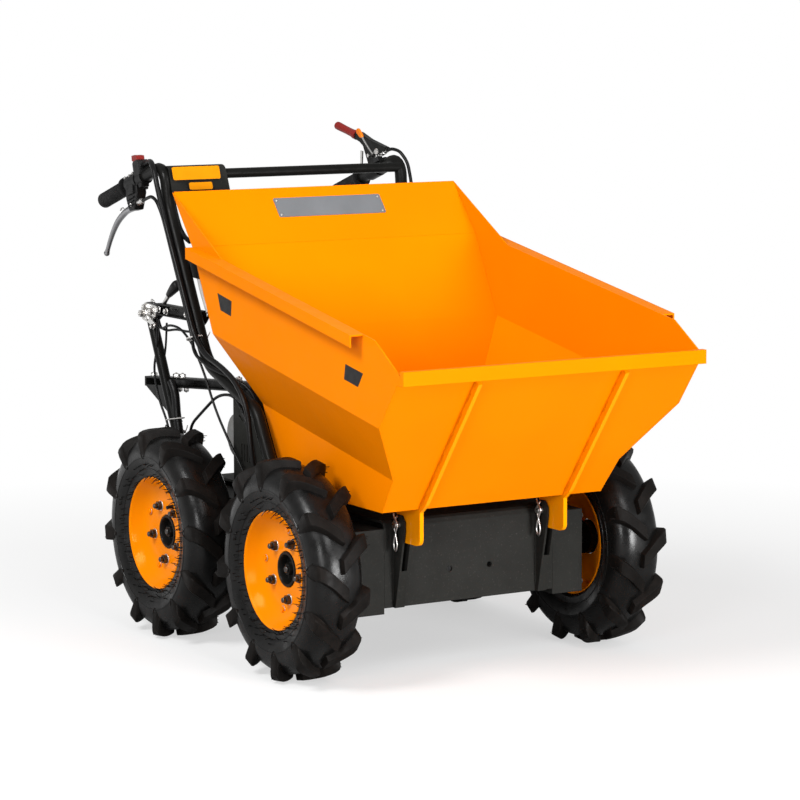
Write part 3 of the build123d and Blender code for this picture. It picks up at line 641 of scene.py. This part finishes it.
def wheel(name):
    low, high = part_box(f"tyre_{name}")
    centre = Matrix.Translation((low + high) / 2 / MM)
    nuts, studs, washers, rim_bolts = Mesh(), Mesh(), Mesh(), Mesh()
    for i in range(5):
        angle = FIRST_NUT[name] - 72 * i
        washers.join(washer(10.5, 1.8), ring_place(angle, STUD_CIRCLE, 9.9))
        nuts.join(hex_nut(16, 8), ring_place(angle, STUD_CIRCLE, 11.6))
        studs.join(rod((0, 0, 0), (0, 0, 7.5), 5.2, 16, 1.2), ring_place(angle, STUD_CIRCLE, 19))
    for i in range(4):
        angle = FIRST_NUT[name] - 36 - 90 * i
        rim_bolts.join(hex_nut(10, 4), ring_place(angle, BOLT_CIRCLE, 12.6))
        washers.join(washer(6.8, 1), ring_place(angle, BOLT_CIRCLE, 11.9))
    studs.join(rod((0, 0, 0), (0, 0, 8), 6.5, 16, 1.4), facing(OUTWARD, (0, 6, 0)))
    valve = turned([(0, 5.2), (0.3, 5), (0.7, 3.6), (1, 3.6)], (56, 12, 62), (56, 40, 58), 14)

    def add(kind, mesh, material, *replaces, **rest):
        shape = mesh if name.endswith("left") else mesh.mirror_y()
        piece(f"{kind}_{name}", Mesh().join(shape, centre), material, replaces, body=f"wheel_{name}", **rest)

    add("tyre_carcass", carcass_shape, tyre_rubber, f"tyre_{name}", smooth=32)
    add("tyre_lugs", tread_shape, tread_rubber, smooth=32)
    add("pressed_rim", rim_shape, rim_orange, f"rim_{name}")
    add("wheel_hub", hub_shape, black_coat, f"hub_{name}")
    add("wheel_nuts", nuts, black_zinc)
    add("wheel_studs", studs, black_zinc)
    add("wheel_washers", washers, zinc)
    add("rim_bolts", rim_bolts, rim_orange)
    add("tyre_valve", valve, black_plastic, slot="black_rubber")


def axle_mesh(name):
    """Axle through both cases with its bearing flanges; its ends stop inside the hubs' recesses."""
    low, high = (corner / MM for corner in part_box(name))
    middle = (low + high) / 2
    reach = Vector((0, (high.y - low.y) / 2 - 34, 0))
    mesh = rod(middle - reach, middle + reach, 12.5, 32, 1)
    r = (high.x - low.x) / 2
    flange = rounded(rectangle(middle.x - r, middle.x + r, middle.z - r, middle.z + r), 9, 5)
    return mesh.join(both(plate(flange, 255, 269, 1)))


for wheel_name in FIRST_NUT:
    wheel(wheel_name)
for axle_name in ("front_axle", "rear_axle"):
    piece(f"{axle_name}_shaft", axle_mesh(axle_name), black_coat, [axle_name])


# ======== handlebars, drawn at the left
GRIP_SLOPE = atan2(86, 271)
GRIP_LENGTH = 284.3
GRIP_END = (16 * sin(GRIP_SLOPE) - 640, 840)
HANDLE_Y = 278
HANDLE_TUBE = [
    (GRIP_END[0], 278, 840), (GRIP_END[0] + 271, 274, 926), (-355, 272, 850),
    (-195, 270.8, 543), (5, 270.8, 473), (72, 270.8, 357),
]
CROSSBAR = (-362, 905)
LABEL_FRONT = (Vector((-344, 0, 925)), Vector((-328, 0, 876)))    # top and low point of the label's front


def by_grip(along, above):
    """Point (x, z) at a distance along the grip from the tube's end and above its axis."""
    x = GRIP_END[0] + along * cos(GRIP_SLOPE) - above * sin(GRIP_SLOPE)
    return x, GRIP_END[1] + along * sin(GRIP_SLOPE) + above * cos(GRIP_SLOPE)


def at_grip(along, above, y):
    """The same point in space, y counted from the grip's middle."""
    x, z = by_grip(along, above)
    return Vector((x, HANDLE_Y + y, z))


def grip_plate(corners, inner, outer, bevel):
    return plate([by_grip(*corner) for corner in corners], HANDLE_Y + inner, HANDLE_Y + outer, bevel)


def sleeve(profile, sides=24):
    """Form turned round the grip's axis; profile holds (place along it, radius)."""
    path = [at_grip(along, 0, -4 * along / GRIP_LENGTH) for along, _ in profile]
    return tube(path, [radius for _, radius in profile], sides)


def handle_tube():
    foot = [(46, 381), (78, 361), (100, 263), (100, 183), (26, 183), (26, 263)]
    return tube(route(HANDLE_TUBE, [30, 120, 90, 60]), 12.5, 24).join(plate(foot, 258.3, 264.3, 1))


def rubber_grip():
    profile = [(0.2, 12), (0.2, 14.5), (2, 16), (8, 16)]
    for i in range(22):
        start = 12 + 4.2 * i
        profile += [(start, 16), (start + 0.6, 15.2), (start + 1.8, 15.2), (start + 2.4, 16)]
    return sleeve(profile + [(107, 16), (108, 20), (109.5, 21), (113, 21), (115.8, 20), (116, 13)], 32)


def label_sheet():
    """Blank sheet that wraps over the crossbar and falls in front of it, on two straps."""
    x, z = CROSSBAR
    line = [(-16, 17), (-6, 18.6), (4, 17.6), (10, 13), (14, 4), (20, -14), (27, -35)]
    path = smooth_path([Vector((x + dx, 0, z + dz)) for dx, dz in line], 4)
    last = len(path) - 1
    verts = []
    for i, p in enumerate(path):
        ahead = (path[min(i + 1, last)] - path[max(i - 1, 0)]).normalized()
        lifted = p + Vector((ahead.z, 0, -ahead.x)) * 2.2
        right_end = -147 + 5 * i / last
        for q, y in ((p, -272), (p, right_end), (lifted, right_end), (lifted, -272)):
            verts.append((q.x, y, q.z))
    mesh = skin(verts, len(path), 4)
    for y in (-237, -154):
        mesh.join(plate(rectangle(x - 12, x + 6, z, z + 16), y - 8, y + 8))
    return mesh


def label_stickers():
    """Blank yellow stickers on the front of the label sheet."""
    mesh = Mesh()
    for outline in (rectangle(-270, -164, 3, 30, 4), rectangle(-237, -185, 36, 51, 4)):
        mesh.join(slab(outline, 0.1, 0.6, lambda y, s, lift: on_slope(*LABEL_FRONT, y, s, lift)))
    return mesh


handle_left = handle_tube()
piece("handle_bar_left", handle_left, black_coat, ["handle_tube_left"], smooth=45)
piece("handle_bar_right", handle_left.mirror_y(), black_coat, ["handle_tube_right"], smooth=45)
piece("ribbed_grips", both(rubber_grip()), soft_rubber, ["hand_grips"])
foot_places = [(x, 264.2, z) for x, z in ((45, 205), (82, 205), (52, 250), (80, 250))]
piece("foot_bolts", both(bolts(foot_places, OUTWARD, 13, 6, 9)), zinc)


# ======== right-hand controls, drawn at the left
def brake_perch():
    """Moulded lever bracket under the tube with its clamp."""
    body = [(122, 6), (134, 16), (168, 16), (174, 6), (172, -28), (148, -57), (126, -54), (119, -30)]
    mesh = grip_plate(body, -12, 10, 1.6)
    mesh.join(grip_plate([(130, 0), (164, 2), (160, -26), (134, -24)], 9, 14, 1.2))
    for i in range(3):
        low = -30 - 7 * i
        mesh.join(grip_plate(rectangle(127, 156 - 4 * i, low, low - 3), 9, 13, 0.8))
    mesh.join(sleeve([(128, 12), (128, 17.5), (172, 17.5), (172, 12)]))
    return mesh.join(rod(at_grip(176, 20, -8), at_grip(176, -22, -8), 6.5, 12, 1))


def brake_blade():
    """Curved forged lever with a ball end."""
    line = [(134, -50), (116, -47), (92, -46), (66, -50), (42, -57), (18, -69), (-4, -84), (-20, -97),
            (-28, -104)]
    path = smooth_path([at_grip(along, above, -2) for along, above in line], 4)
    radii = spread([5.6, 6.6, 6.8, 6.6, 6.2, 5.6, 5, 4.8, 5.4], len(path))
    return tube(path, radii, 16).join(ball(at_grip(-29.5, -105, -2), 6.4))


def brake_fittings():
    """Cable adjuster, spring, screws and the lever's pivot."""
    adjuster = [(0, 4.8), (0.2, 4.8), (0.22, 6.2), (0.42, 6.2), (0.44, 4), (0.5, 4), (0.52, 5.8), (0.8, 5.8),
                (0.82, 4.5), (1, 4)]
    mesh = turned(adjuster, at_grip(146, -43, 2), at_grip(178.2, -46, 2), 16)
    mesh.join(wire_ring((-556, 274, 823), 6.2, 1, (0.3, 1, 0.2), 1.4))
    screws = [at_grip(along, above, 9) for along, above in ((129, 14), (166, 14), (150, 13))]
    mesh.join(bolts(screws, (0, 1, 0.3), 6, 3))
    return mesh.join(rod(at_grip(138, -44, -14), at_grip(138, -44, 12), 4.2, 16, 1))


def switch_body():
    mesh = grip_plate([(173, 4), (200, 4), (200, 32), (194, 36), (177, 36), (173, 32)], -14, 12, 1.4)
    mesh.join(sleeve([(175, 12), (175, 16), (198, 16), (198, 12)]))
    return mesh.join(grip_plate([(176, 4), (196, 4), (192, -20), (180, -20)], -10, 8, 1.2))


piece("brake_perch", brake_perch().mirror_y(), black_plastic, ["brake_lever"])
piece("brake_blade", brake_blade().mirror_y(), polished_alloy, smooth=50)
piece("brake_fittings", brake_fittings().mirror_y(), zinc)
piece("switch_body", switch_body().mirror_y(), black_plastic, ["stop_switch"])
rocker = grip_plate([(165, 40), (172, 36), (190, 36), (191, 45), (180, 49), (167, 51)], -10, 8, 1.6)
piece("switch_rocker", rocker.mirror_y(), red_plastic)
piece("label_sheet", label_sheet(), frame_coat, ["label_panel"])
piece("panel_stickers", label_stickers(), yellow_plate)


# ======== left-hand controls
def clutch_lever():
    """Folded channel of the lever, open below, with the bracket that clamps it to the tube."""
    side = [(236, 26), (236, 33), (178, 66), (140, 93), (118, 97), (116, 88), (140, 72), (170, 40), (196, 26)]
    back = [(236, 31), (236, 33.5), (178, 66.5), (140, 93.5), (118, 97.5), (118, 94), (139, 90), (177, 63)]
    mesh = grip_plate(side, -9, -7, 0.5)
    mesh.join(grip_plate(side, 3, 5, 0.5))
    mesh.join(grip_plate(back, -8, 4, 0.5))
    mesh.join(sleeve([(155, 12), (155, 16.5), (195, 16.5), (195, 12)]))
    return mesh.join(grip_plate([(158, 8), (196, 8), (190, 40), (166, 44), (152, 66), (146, 62)], -6, 2, 1))


def clutch_fittings():
    """Zinc plate, pivot bolt and the two cable ends."""
    mesh = plate([(-512, 905), (-505, 905), (-503, 932), (-511, 933)], 264, 267, 0.4)
    mesh.join(bolt((-477, 283, 924), OUTWARD, 11, 6, 8))
    mesh.join(rod((-477, 262, 924), (-477, 284, 924), 4, 12))
    mesh.join(turned([(0, 5), (0.35, 5), (0.36, 3.5), (0.6, 3.5), (0.61, 7.8), (0.85, 7.8), (1, 4)],
                     (-456, 272, 912), (-452, 272, 940), 16))
    return mesh.join(turned([(0, 5.5), (0.5, 5.5), (0.52, 4.2), (1, 4.2)],
                            at_grip(214, 26, -2), at_grip(235.4, 26.6, -2), 12))


piece("clutch_channel", clutch_lever(), black_coat, ["clutch_lever"])
red_profile = [(0, 7.5), (0, 9.8), (0.1, 10), (0.16, 9.4), (0.2, 8.4), (0.55, 8.2), (0.9, 8.8), (0.97, 8.6),
               (1, 7)]
piece("clutch_sleeve", turned(red_profile, at_grip(124, 90, -2), at_grip(48, 134, -2), 20), red_rubber)
piece("clutch_fittings", clutch_fittings(), zinc)
clamp = sleeve([(204, 12), (204, 16), (224, 16), (224, 12)])
clamp.join(grip_plate(rectangle(204, 224, 8, 18), -22, -9.5, 1))
piece("throttle_clamp", clamp, black_plastic, ["throttle_lever"])
throttle_line = [(-452, 260, 928), (-474, 260, 944), (-488, 260, 955), (-497, 260, 963)]
piece("throttle_wire", tube(smooth_path(throttle_line, 4), 1.6, 8), zinc)
paddle = rounded([(-494, 961), (-501, 960), (-517, 970), (-518, 978), (-511, 981), (-496, 968)], 5, 4)
piece("throttle_paddle", plate(paddle, 257, 263, 1.4), orange_plastic)


# ======== gear post, lever and stay
POST = [(-481, -250, 610), (-365, -250, 372), (-349, -250, 283)]
POST_HEAD = [(-503, 604), (-469, 598), (-439, 616), (-439, 636), (-489, 640), (-505, 628)]
KNOB_LOW = Vector((-403, -250, 660))
KNOB_TOP = Vector((-359, -250, 688))
KNOB_PROFILE = [
    (0, 4.8), (0.05, 6.6), (0.3, 8.4), (0.62, 10.4), (0.70, 10.6), (0.71, 9.8), (0.73, 9.8), (0.74, 10.6),
    (0.86, 10.4), (0.95, 8.8), (1, 5),
]


def post_fittings():
    """Zinc linkage on the post's head: cheek plates, a link, spacers, cable ends and nuts."""
    mesh = plate(rounded(POST_HEAD, 6, 3), -261.5, -258.2, 0.5)
    mesh.join(plate(rounded([(-508, 612), (-494, 604), (-484, 640), (-500, 646)], 5, 3), -241.8, -238.6, 0.5))
    mesh.join(plate(rounded([(-478, 606), (-438, 590), (-433, 600), (-472, 618)], 4, 3), -266, -262.5, 0.5))
    for x, z, size in ((-497, 616, 13), (-484, 630, 11), (-452, 624, 13), (-470, 608, 9)):
        mesh.join(bolt((x, -261.4, z), (0, -1, 0), size, size * 0.55, size * 0.72))
        mesh.join(rod((x, -266, z), (x, -236, z), 3, 12))
    mesh.join(bolt((-440, -266, 595), (0, -1, 0), 9, 6, 6))
    cable_end = [(0, 4), (0.6, 4), (0.62, 3.2), (1, 3.2)]
    mesh.join(turned(cable_end, (-462, -247, 611), (-454.6, -247, 606.2), 10))
    mesh.join(turned(cable_end, (-458, -254.5, 616), (-446.9, -254.5, 610.9), 10))
    return mesh.join(rod((-508, -252, 622), (-492, -252, 622), 7, 16, 1))


def shelf_foot(x):
    """Height of the side shelf's lower face at x."""
    return 461 + 0.075 * (x + 541)


post = tube(route(POST, [60]), 11, 24).join(plate(POST_HEAD, -258, -242, 1))
piece("gear_post", post, black_coat, ["shift_post"], smooth=45)
piece("gear_linkage", post_fittings(), zinc)
piece("gear_lever_rod", rod((-437, -250, 630), KNOB_LOW.lerp(KNOB_TOP, 0.2), 4.2, 16, 1), zinc)
piece("gear_knob", turned(KNOB_PROFILE, KNOB_LOW, KNOB_TOP, 28), black_plastic, ["shift_lever"])
stay_bolts = bolts([(-425, -260, 630), (-392, -260, 629), (-300, -260, 630)], (0, -1, 0), 10, 5, 7)
shelf_places = [(x, -226, shelf_foot(x) + 20) for x in (-520, -420, -392, -150)]
stay_bolts.join(bolts(shelf_places, (0, 0, 1), 12, 6, 8))
stay_bolts.join(bolts([(x, -228, shelf_foot(x) + 0.4) for x in (-400, -372)], (0, 0, -1), 9, 7, 6))
piece("stay_bolts", stay_bolts, zinc)


# ======== control cables
CABLES = {    # radius, and the points from the control to the far end
    "cable_switch": (5.5, [
        (-450.9, -278, 921.7), (-436, -278, 926.5), (-414, -282, 931.5), (-391, -289, 928),
        (-373, -293, 913), (-361, -294, 888), (-347, -293, 853), (-330, -291, 812), (-213, -290, 597),
        (-172, -289, 563), (-104, -290, 548), (-40, -291, 524), (6, -292, 480), (18, -292, 414),
        (20, -286, 362), (23, -266, 322), (24, -251, 286.2),
    ]),
    "cable_brake": (3.5, [
        (-450.8, -280, 850.3), (-434, -280, 855.6), (-412, -281, 861), (-388, -282, 854), (-367, -281, 829),
        (-350, -280, 796), (-246, -279, 596), (-216, -290, 562), (-152, -290, 541), (-88, -278, 528),
        (-46, -253, 506), (-16, -248.5, 446), (0, -248, 372), (4, -248, 283.7),
    ]),
    "cable_shift_front": (2.5, [
        (-446.8, -254.5, 610.8), (-437, -257, 595.2), (-410, -262, 592), (-372, -265, 604),
        (-326, -264, 602), (-276, -263, 576), (-228, -262, 522), (-184, -260, 450), (-128, -257, 388),
        (-82, -252, 338), (-68, -250, 284.2),
    ]),
    "cable_shift_rear": (3, [
        (-40, -247, 284), (-50, -247, 356), (-74, -247, 430), (-124, -246, 486), (-200, -245, 480),
        (-272, -243, 438), (-336, -238, 402), (-355, -233, 346), (-358, -232, 283.7),
    ]),
    "cable_shift_arch": (2.5, [
        (-454.5, -247, 606.1), (-445, -247, 590.4), (-416, -248, 587), (-372, -247, 594),
        (-324, -245, 592), (-278, -243, 602), (-240, -242, 630), (-238, -242, 674), (-262, -242, 718),
    ]),
    "cable_clutch": (3.5, [
        (-418.6, 276, 937), (-402, 277, 941), (-381, 283, 937), (-361, 290, 915), (-350, 292, 876),
        (-330, 289, 810), (-214, 288, 596), (-174, 288, 563), (-104, 288, 542), (-44, 289, 518),
        (2, 289, 474), (14, 288, 408), (16, 283, 360), (18, 264, 320), (19, 250, 285.4),
    ]),
}
LOOSE_LINES = (    # two thin wires and a dark boot along the post, a line behind the right tube
    (2.4, [(-440, -257, 608), (-443, -257, 553), (-458, -257, 510), (-455, -256, 482), (-438, -256, 442),
           (-408, -256, 408), (-388, -256, 372), (-374, -254, 310)]),
    (2.2, [(-424, -244, 602), (-430, -244, 550), (-446, -243, 512), (-441, -243, 479), (-420, -243, 440),
           (-392, -243, 408), (-374, -244, 370), (-364, -246, 310)]),
    (8.5, [(-396, -250, 486), (-380, -250, 468), (-375, -250, 446), (-373, -250, 424), (-364, -250, 394),
           (-352, -250, 350)]),
    (5, [(-372, -262, 905), (-356, -262, 860), (-344, -262, 832), (-326, -262, 801), (-306, -261, 784),
         (-286, -260, 777)]),
)
GREY_SLEEVE = [(-268, -250, 706), (-256, -250, 680), (-240, -250, 655), (-229, -250, 640)]


def tie(centre, direction, width, height, tail):
    """Cable tie: a flat band round a bundle, with its head and a short tail."""
    place = facing(direction, centre)
    steps = 28
    verts = []
    for i in range(steps):
        a = 2 * pi * i / steps
        for grow, z in ((0, -1.4), (0.9, -1.4), (0.9, 1.4), (0, 1.4)):
            verts.append(((width + grow) * cos(a), (height + grow) * sin(a), z))
    head = [(width + dx, dy, dz) for dx in (-0.5, 3.5) for dy, dz in rectangle(-2.5, 2.5, -2.4, 2.4)]
    path = [(width + 3, 0, 0), (width + 7, 3, -tail * 0.6), (width + 8, 6, -tail)]
    mesh = Mesh().join(Mesh(verts, rings(steps, 4, True)), place).join(skin(head, 2, 4), place)
    return mesh.join(tube([place @ Vector(p) for p in path], 1.1, 6))


for cable_name, (radius, points) in CABLES.items():
    sheath = tube(route(points), radius, 14)
    piece(cable_name.replace("cable_", "sheath_"), sheath, cable_sheath, [cable_name], smooth=60)
loose = wire_ring((-404, -258, 389), 7, 1.2, (0.2, 1, 0))
for radius, points in LOOSE_LINES:
    loose.join(tube(route(points), radius, 12))
piece("post_wires", loose, cable_sheath, smooth=60)
piece("grey_sleeve", tube(route(GREY_SLEEVE), 4.8, 14), tie_plastic, smooth=60)
ties = tie((-222, -281, 592), (0.42, 0, -0.9), 21, 13.5, 9)
ties.join(tie((-371, -249, 384), (0.4, 0, -0.9), 14, 13, 12))
angles = [2 * pi * i / 36 for i in range(37)]
loop = [(-380 + 28 * cos(a), -250 + 15 * sin(a), 411 + 5 * cos(a)) for a in angles]
ties.join(tube(loop, 1.3, 8))
piece("cable_ties", ties, tie_plastic)
block = plate([(-306, 706), (-262, 704), (-258, 712), (-262, 734), (-300, 738)], -256, -238, 1.5)
piece("cable_block", block, black_plastic)


# ======== chassis fittings
TAB_Y = 158
PIVOT = (362, 293)


def hairpin(y):
    """Hairpin clip through a hinge pin's end: crossed legs above, an open loop below."""
    x, z = PIVOT
    leg = [(5.5, 17), (-3, 9), (-7, 1), (-4.5, -8), (-2, -15), (-5.5, -26), (-7.5, -36), (-5.5, -44),
           (0, -48.5)]
    other = [(5.5, -44), (7.5, -36), (5.5, -26), (2, -15), (5, -8), (8.5, 0), (5, 8), (-1.5, 14), (-5, 21)]
    path = [(x + dx, y + 0.9, z + dz) for dx, dz in leg] + [(x + dx, y - 0.9, z + dz) for dx, dz in other]
    return tube(smooth_path(path, 4), 1.7, 10)


piece("hairpin_clips", hairpin(TAB_Y - 18).join(hairpin(-TAB_Y - 18)), zinc, smooth=60)
seams = Mesh()
chassis_bolts = Mesh()
for side in (1, -1):
    for across in (-10.5, 10.5):
        seams.join(weld((341, side * (TAB_Y + across), 262), (341, side * (TAB_Y + across), 148), 2))
    case_places = [(x, side * 255, z) for x, z in ((330, 268), (330, 140), (-330, 262), (-330, 140))]
    chassis_bolts.join(bolts(case_places, (0, side, 0), 10, 5, 7))
    chassis_bolts.join(bolts([(x, side * 222, 123) for x in (-300, -100, 100, 300)], (0, 0, -1), 10, 5, 7))
piece("bracket_welds", seams, frame_coat, slot="dark_paint", smooth=60)
piece("chassis_bolts", chassis_bolts, zinc)


# ======== engine fittings
STARTER = Vector((-240, 0, 426))


def round_starter(angle, radius, y):
    """Point at an angle from the top and a radius about the starter's axis."""
    return STARTER + Vector((radius * sin(angle), y, radius * cos(angle)))


def recoil_cover():
    """Starter cover on the blower's outer face: stepped disc with ribs, bolts and the rope's grip."""
    disc = lathe([
        (0.6, 243), (24, 243), (27, 241), (29, 238), (31, 236), (62, 235), (64, 237), (68, 237), (70, 234),
        (92, 231), (97, 227), (99, 220), (90, 218), (0.6, 218),
    ], 72)
    mesh = Mesh().join(disc, Matrix.Translation(STARTER))
    for i in range(28):
        a = 2 * pi * i / 28
        mesh.join(tube([round_starter(a, r, 236.6) for r in (34, 60)], 1.7, 6))
    mesh.join(bolts([round_starter(a, 84, 232) for a in (0.6, 2.2, 3.9, 5.4)], OUTWARD, 9, 4, 5))
    return mesh.join(turned([(0, 4), (0.08, 6.5), (0.3, 7.5), (0.7, 7.5), (0.92, 6.5), (1, 4)],
                            (-338, 232, 498), (-302, 232, 530), 18))


def engine_trim():
    """Seams of the tank and the air cleaner, the fuel cap, the oil plug and the cleaner's slots."""
    mesh = level_plate(rectangle(-318, -147, -73, 193, 22), 556, 562)
    mesh.join(level_plate(rectangle(-418, -312, 59, 193, 16), 590, 595))
    mesh.join(turned([(0, 10), (0.5, 12), (0.6, 9), (1, 8)], (-365, 126, 648), (-365, 126, 664), 18))
    mesh.join(turned([(0, 14), (0.4, 14), (0.45, 11), (1, 10)], (-338, -34, 346), (-354, -34, 352), 18))
    for z in (476, 488, 500, 512, 524):
        mesh.join(rod((-266, -60, z), (-266, 2, z), 1.6, 8))
    return mesh


piece("engine_trim", engine_trim(), black_plastic)
piece("recoil_cover", recoil_cover(), black_coat)
crankcase_places = [(-340, y, z) for y, z in ((-48, 336), (-48, 412), (98, 336), (98, 412), (24, 336))]
engine_bolts = bolts(crankcase_places, (-1, 0, 0), 9, 5, 6)
engine_bolts.join(bolts([(-152, -40, 580), (-152, 160, 580)], (1, 0, 0), 9, 4, 5))
piece("engine_bolts", engine_bolts, zinc)
plug_lead = [(-176, -60, 520), (-184, -92, 540), (-214, -110, 552), (-250, -96, 548), (-282, -60, 532)]
piece("plug_lead", tube(route(plug_lead), 3.2, 12), cable_sheath, smooth=60)


# ======== skip fittings
SKIP_HEAD = (Vector((-233, 0, 879)), Vector((-149, 0, 777)))      # top and low edge of the headboard
RIB_FOOT, RIB_HEAD = Vector((423, 0, 329)), Vector((613, 0, 582))


def on_headboard(y, down, lift):
    return on_slope(*SKIP_HEAD, y, down, lift)


blank = slab(rectangle(-112, 133, 26, 72, 4), 3.1, 1, on_headboard)
piece("headboard_plate", blank, grey_plate, body="skip")
rivets = Mesh()
for at in ((-106, 32), (127, 32), (-106, 66), (127, 66)):
    rivets.join(turned([(0, 2.8), (0.5, 2.6), (1, 1)], on_headboard(*at, 4), on_headboard(*at, 5.6), 12))
piece("plate_rivets", rivets, zinc, body="skip")
stripes = plate([(-47, 697), (10, 686), (7, 657), (-35, 665)], 324.9, 325.35, 0.1)
stripes.join(plate([(440, 609), (502, 598), (484, 572), (435, 581)], 324.9, 325.35, 0.1))
piece("side_stripes", both(stripes), decal_black, body="skip")
skip_welds = tube([(-231, 320.6, 878), (-149, 320.6, 778), (-137, 320.6, 754)], 2.4, 8)
for across in (-4.5, 4.5):
    for i in range(6):
        start = RIB_FOOT.lerp(RIB_HEAD, 0.04 + 0.162 * i) + Vector((1.2, TAB_Y + across, -0.9))
        skip_welds.join(weld(start, start + (RIB_HEAD - RIB_FOOT).normalized() * 26, 1.9))
piece("skip_welds", both(skip_welds), orange, body="skip", smooth=60)


# ======== floor, light and camera, in metres
WHITE = (1, 1, 1, 1)
FLOOR_HALF = 30
LAMPS = (    # name, place, size, power
    ("key_light", (3.6, -0.2, 3), 1.6, 50),
    ("front_light", (4.8, 0.9, 0.5), 1.4, 225),
    ("low_light", (3, -3.4, 1.3), 1.2, 60),
    ("side_light", (0.8, -3.2, 3.4), 1.4, 125),
)


def floor_material():
    """Grey paper that fades to white away from the machine, as the camera sees it."""
    s = Shader("floor_paper")
    feed(s.tree, s.main, {"Base Color": (0.42, 0.42, 0.42, 1), "Roughness": 0.9, "Specular IOR Level": 0.0})

    def calculate(operation, a, b):
        return s.node("Math", {0: a, 1: b}, operation=operation).outputs[0]

    distance = s.node("VectorMath", {0: s.place}, operation="LENGTH").outputs["Value"]
    rays = s.node("LightPath", {}).outputs
    seen = calculate("MAXIMUM", rays["Is Camera Ray"], rays["Is Glossy Ray"])
    fade = calculate("MULTIPLY", seen, s.span(distance, 0.9, 2.2, 0, 1))
    glow = s.node("Emission", {"Strength": calculate("MULTIPLY", rays["Is Camera Ray"], 0.55)})
    paper = s.node("AddShader", {0: s.main.outputs[0], 1: glow.outputs[0]})
    white = s.node("Emission", {})
    mix = s.node("MixShader", {"Fac": fade, 1: paper.outputs[0], 2: white.outputs[0]})
    feed(s.tree, s.tree.nodes["Material Output"], {"Surface": mix.outputs[0]})
    return s.material


def studio():
    """The floor, the world's soft light with a white backdrop, and four lamps."""
    data = bpy.data.meshes.new("floor")
    corners = rectangle(-FLOOR_HALF, FLOOR_HALF, -FLOOR_HALF, FLOOR_HALF)
    data.from_pydata([(x, y, 0) for x, y in corners], [], [[0, 1, 2, 3]])
    data.materials.append(floor_material())
    show("floor", data)

    world = bpy.data.worlds.new("studio")
    bpy.context.scene.world = world
    world.use_nodes = True
    tree = world.node_tree
    soft = tree.nodes["Background"]
    feed(tree, soft, {"Color": WHITE, "Strength": 0.42})
    backdrop = add_node(tree, "Background", {"Color": WHITE, "Strength": 1.0})
    seen = add_node(tree, "LightPath", {}).outputs["Is Camera Ray"]
    mix = add_node(tree, "MixShader", {"Fac": seen, 1: soft.outputs[0], 2: backdrop.outputs[0]})
    feed(tree, tree.nodes["World Output"], {"Surface": mix.outputs[0]})

    for name, at, size, power in LAMPS:
        light = bpy.data.lights.new(name, "AREA")
        light.size = size
        light.energy = power
        aim = Vector((0, 0, 0.5)) - Vector(at)
        turn = aim.to_track_quat("-Z", "Y").to_matrix().to_4x4()
        show(name, light).matrix_world = Matrix.Translation(Vector(at)) @ turn


def camera():
    """Camera at the viewing angle; azimuth, pitch and roll in degrees."""
    azimuth, pitch, roll = radians(58.89), radians(7.37), radians(-0.19)
    level = cos(pitch)
    back = Vector((sin(azimuth) * level, -cos(azimuth) * level, sin(pitch)))
    right = (-back).cross(Vector((0, 0, 1))).normalized()
    up = right.cross(-back)
    turned_right = right * cos(roll) + up * sin(roll)
    turned_up = up * cos(roll) - right * sin(roll)
    data = bpy.data.cameras.new("camera")
    data.sensor_width = 36
    data.lens = 142.1
    data.shift_x = -0.0066
    data.shift_y = -0.001
    holder = show("camera", data)
    turn = Matrix((turned_right, turned_up, back)).transposed().to_4x4()
    holder.matrix_world = Matrix.Translation((5.286, -3.125, 1.269)) @ turn
    bpy.context.scene.camera = holder


studio()
camera()
bpy.context.scene.view_settings.view_transform = "Standard"
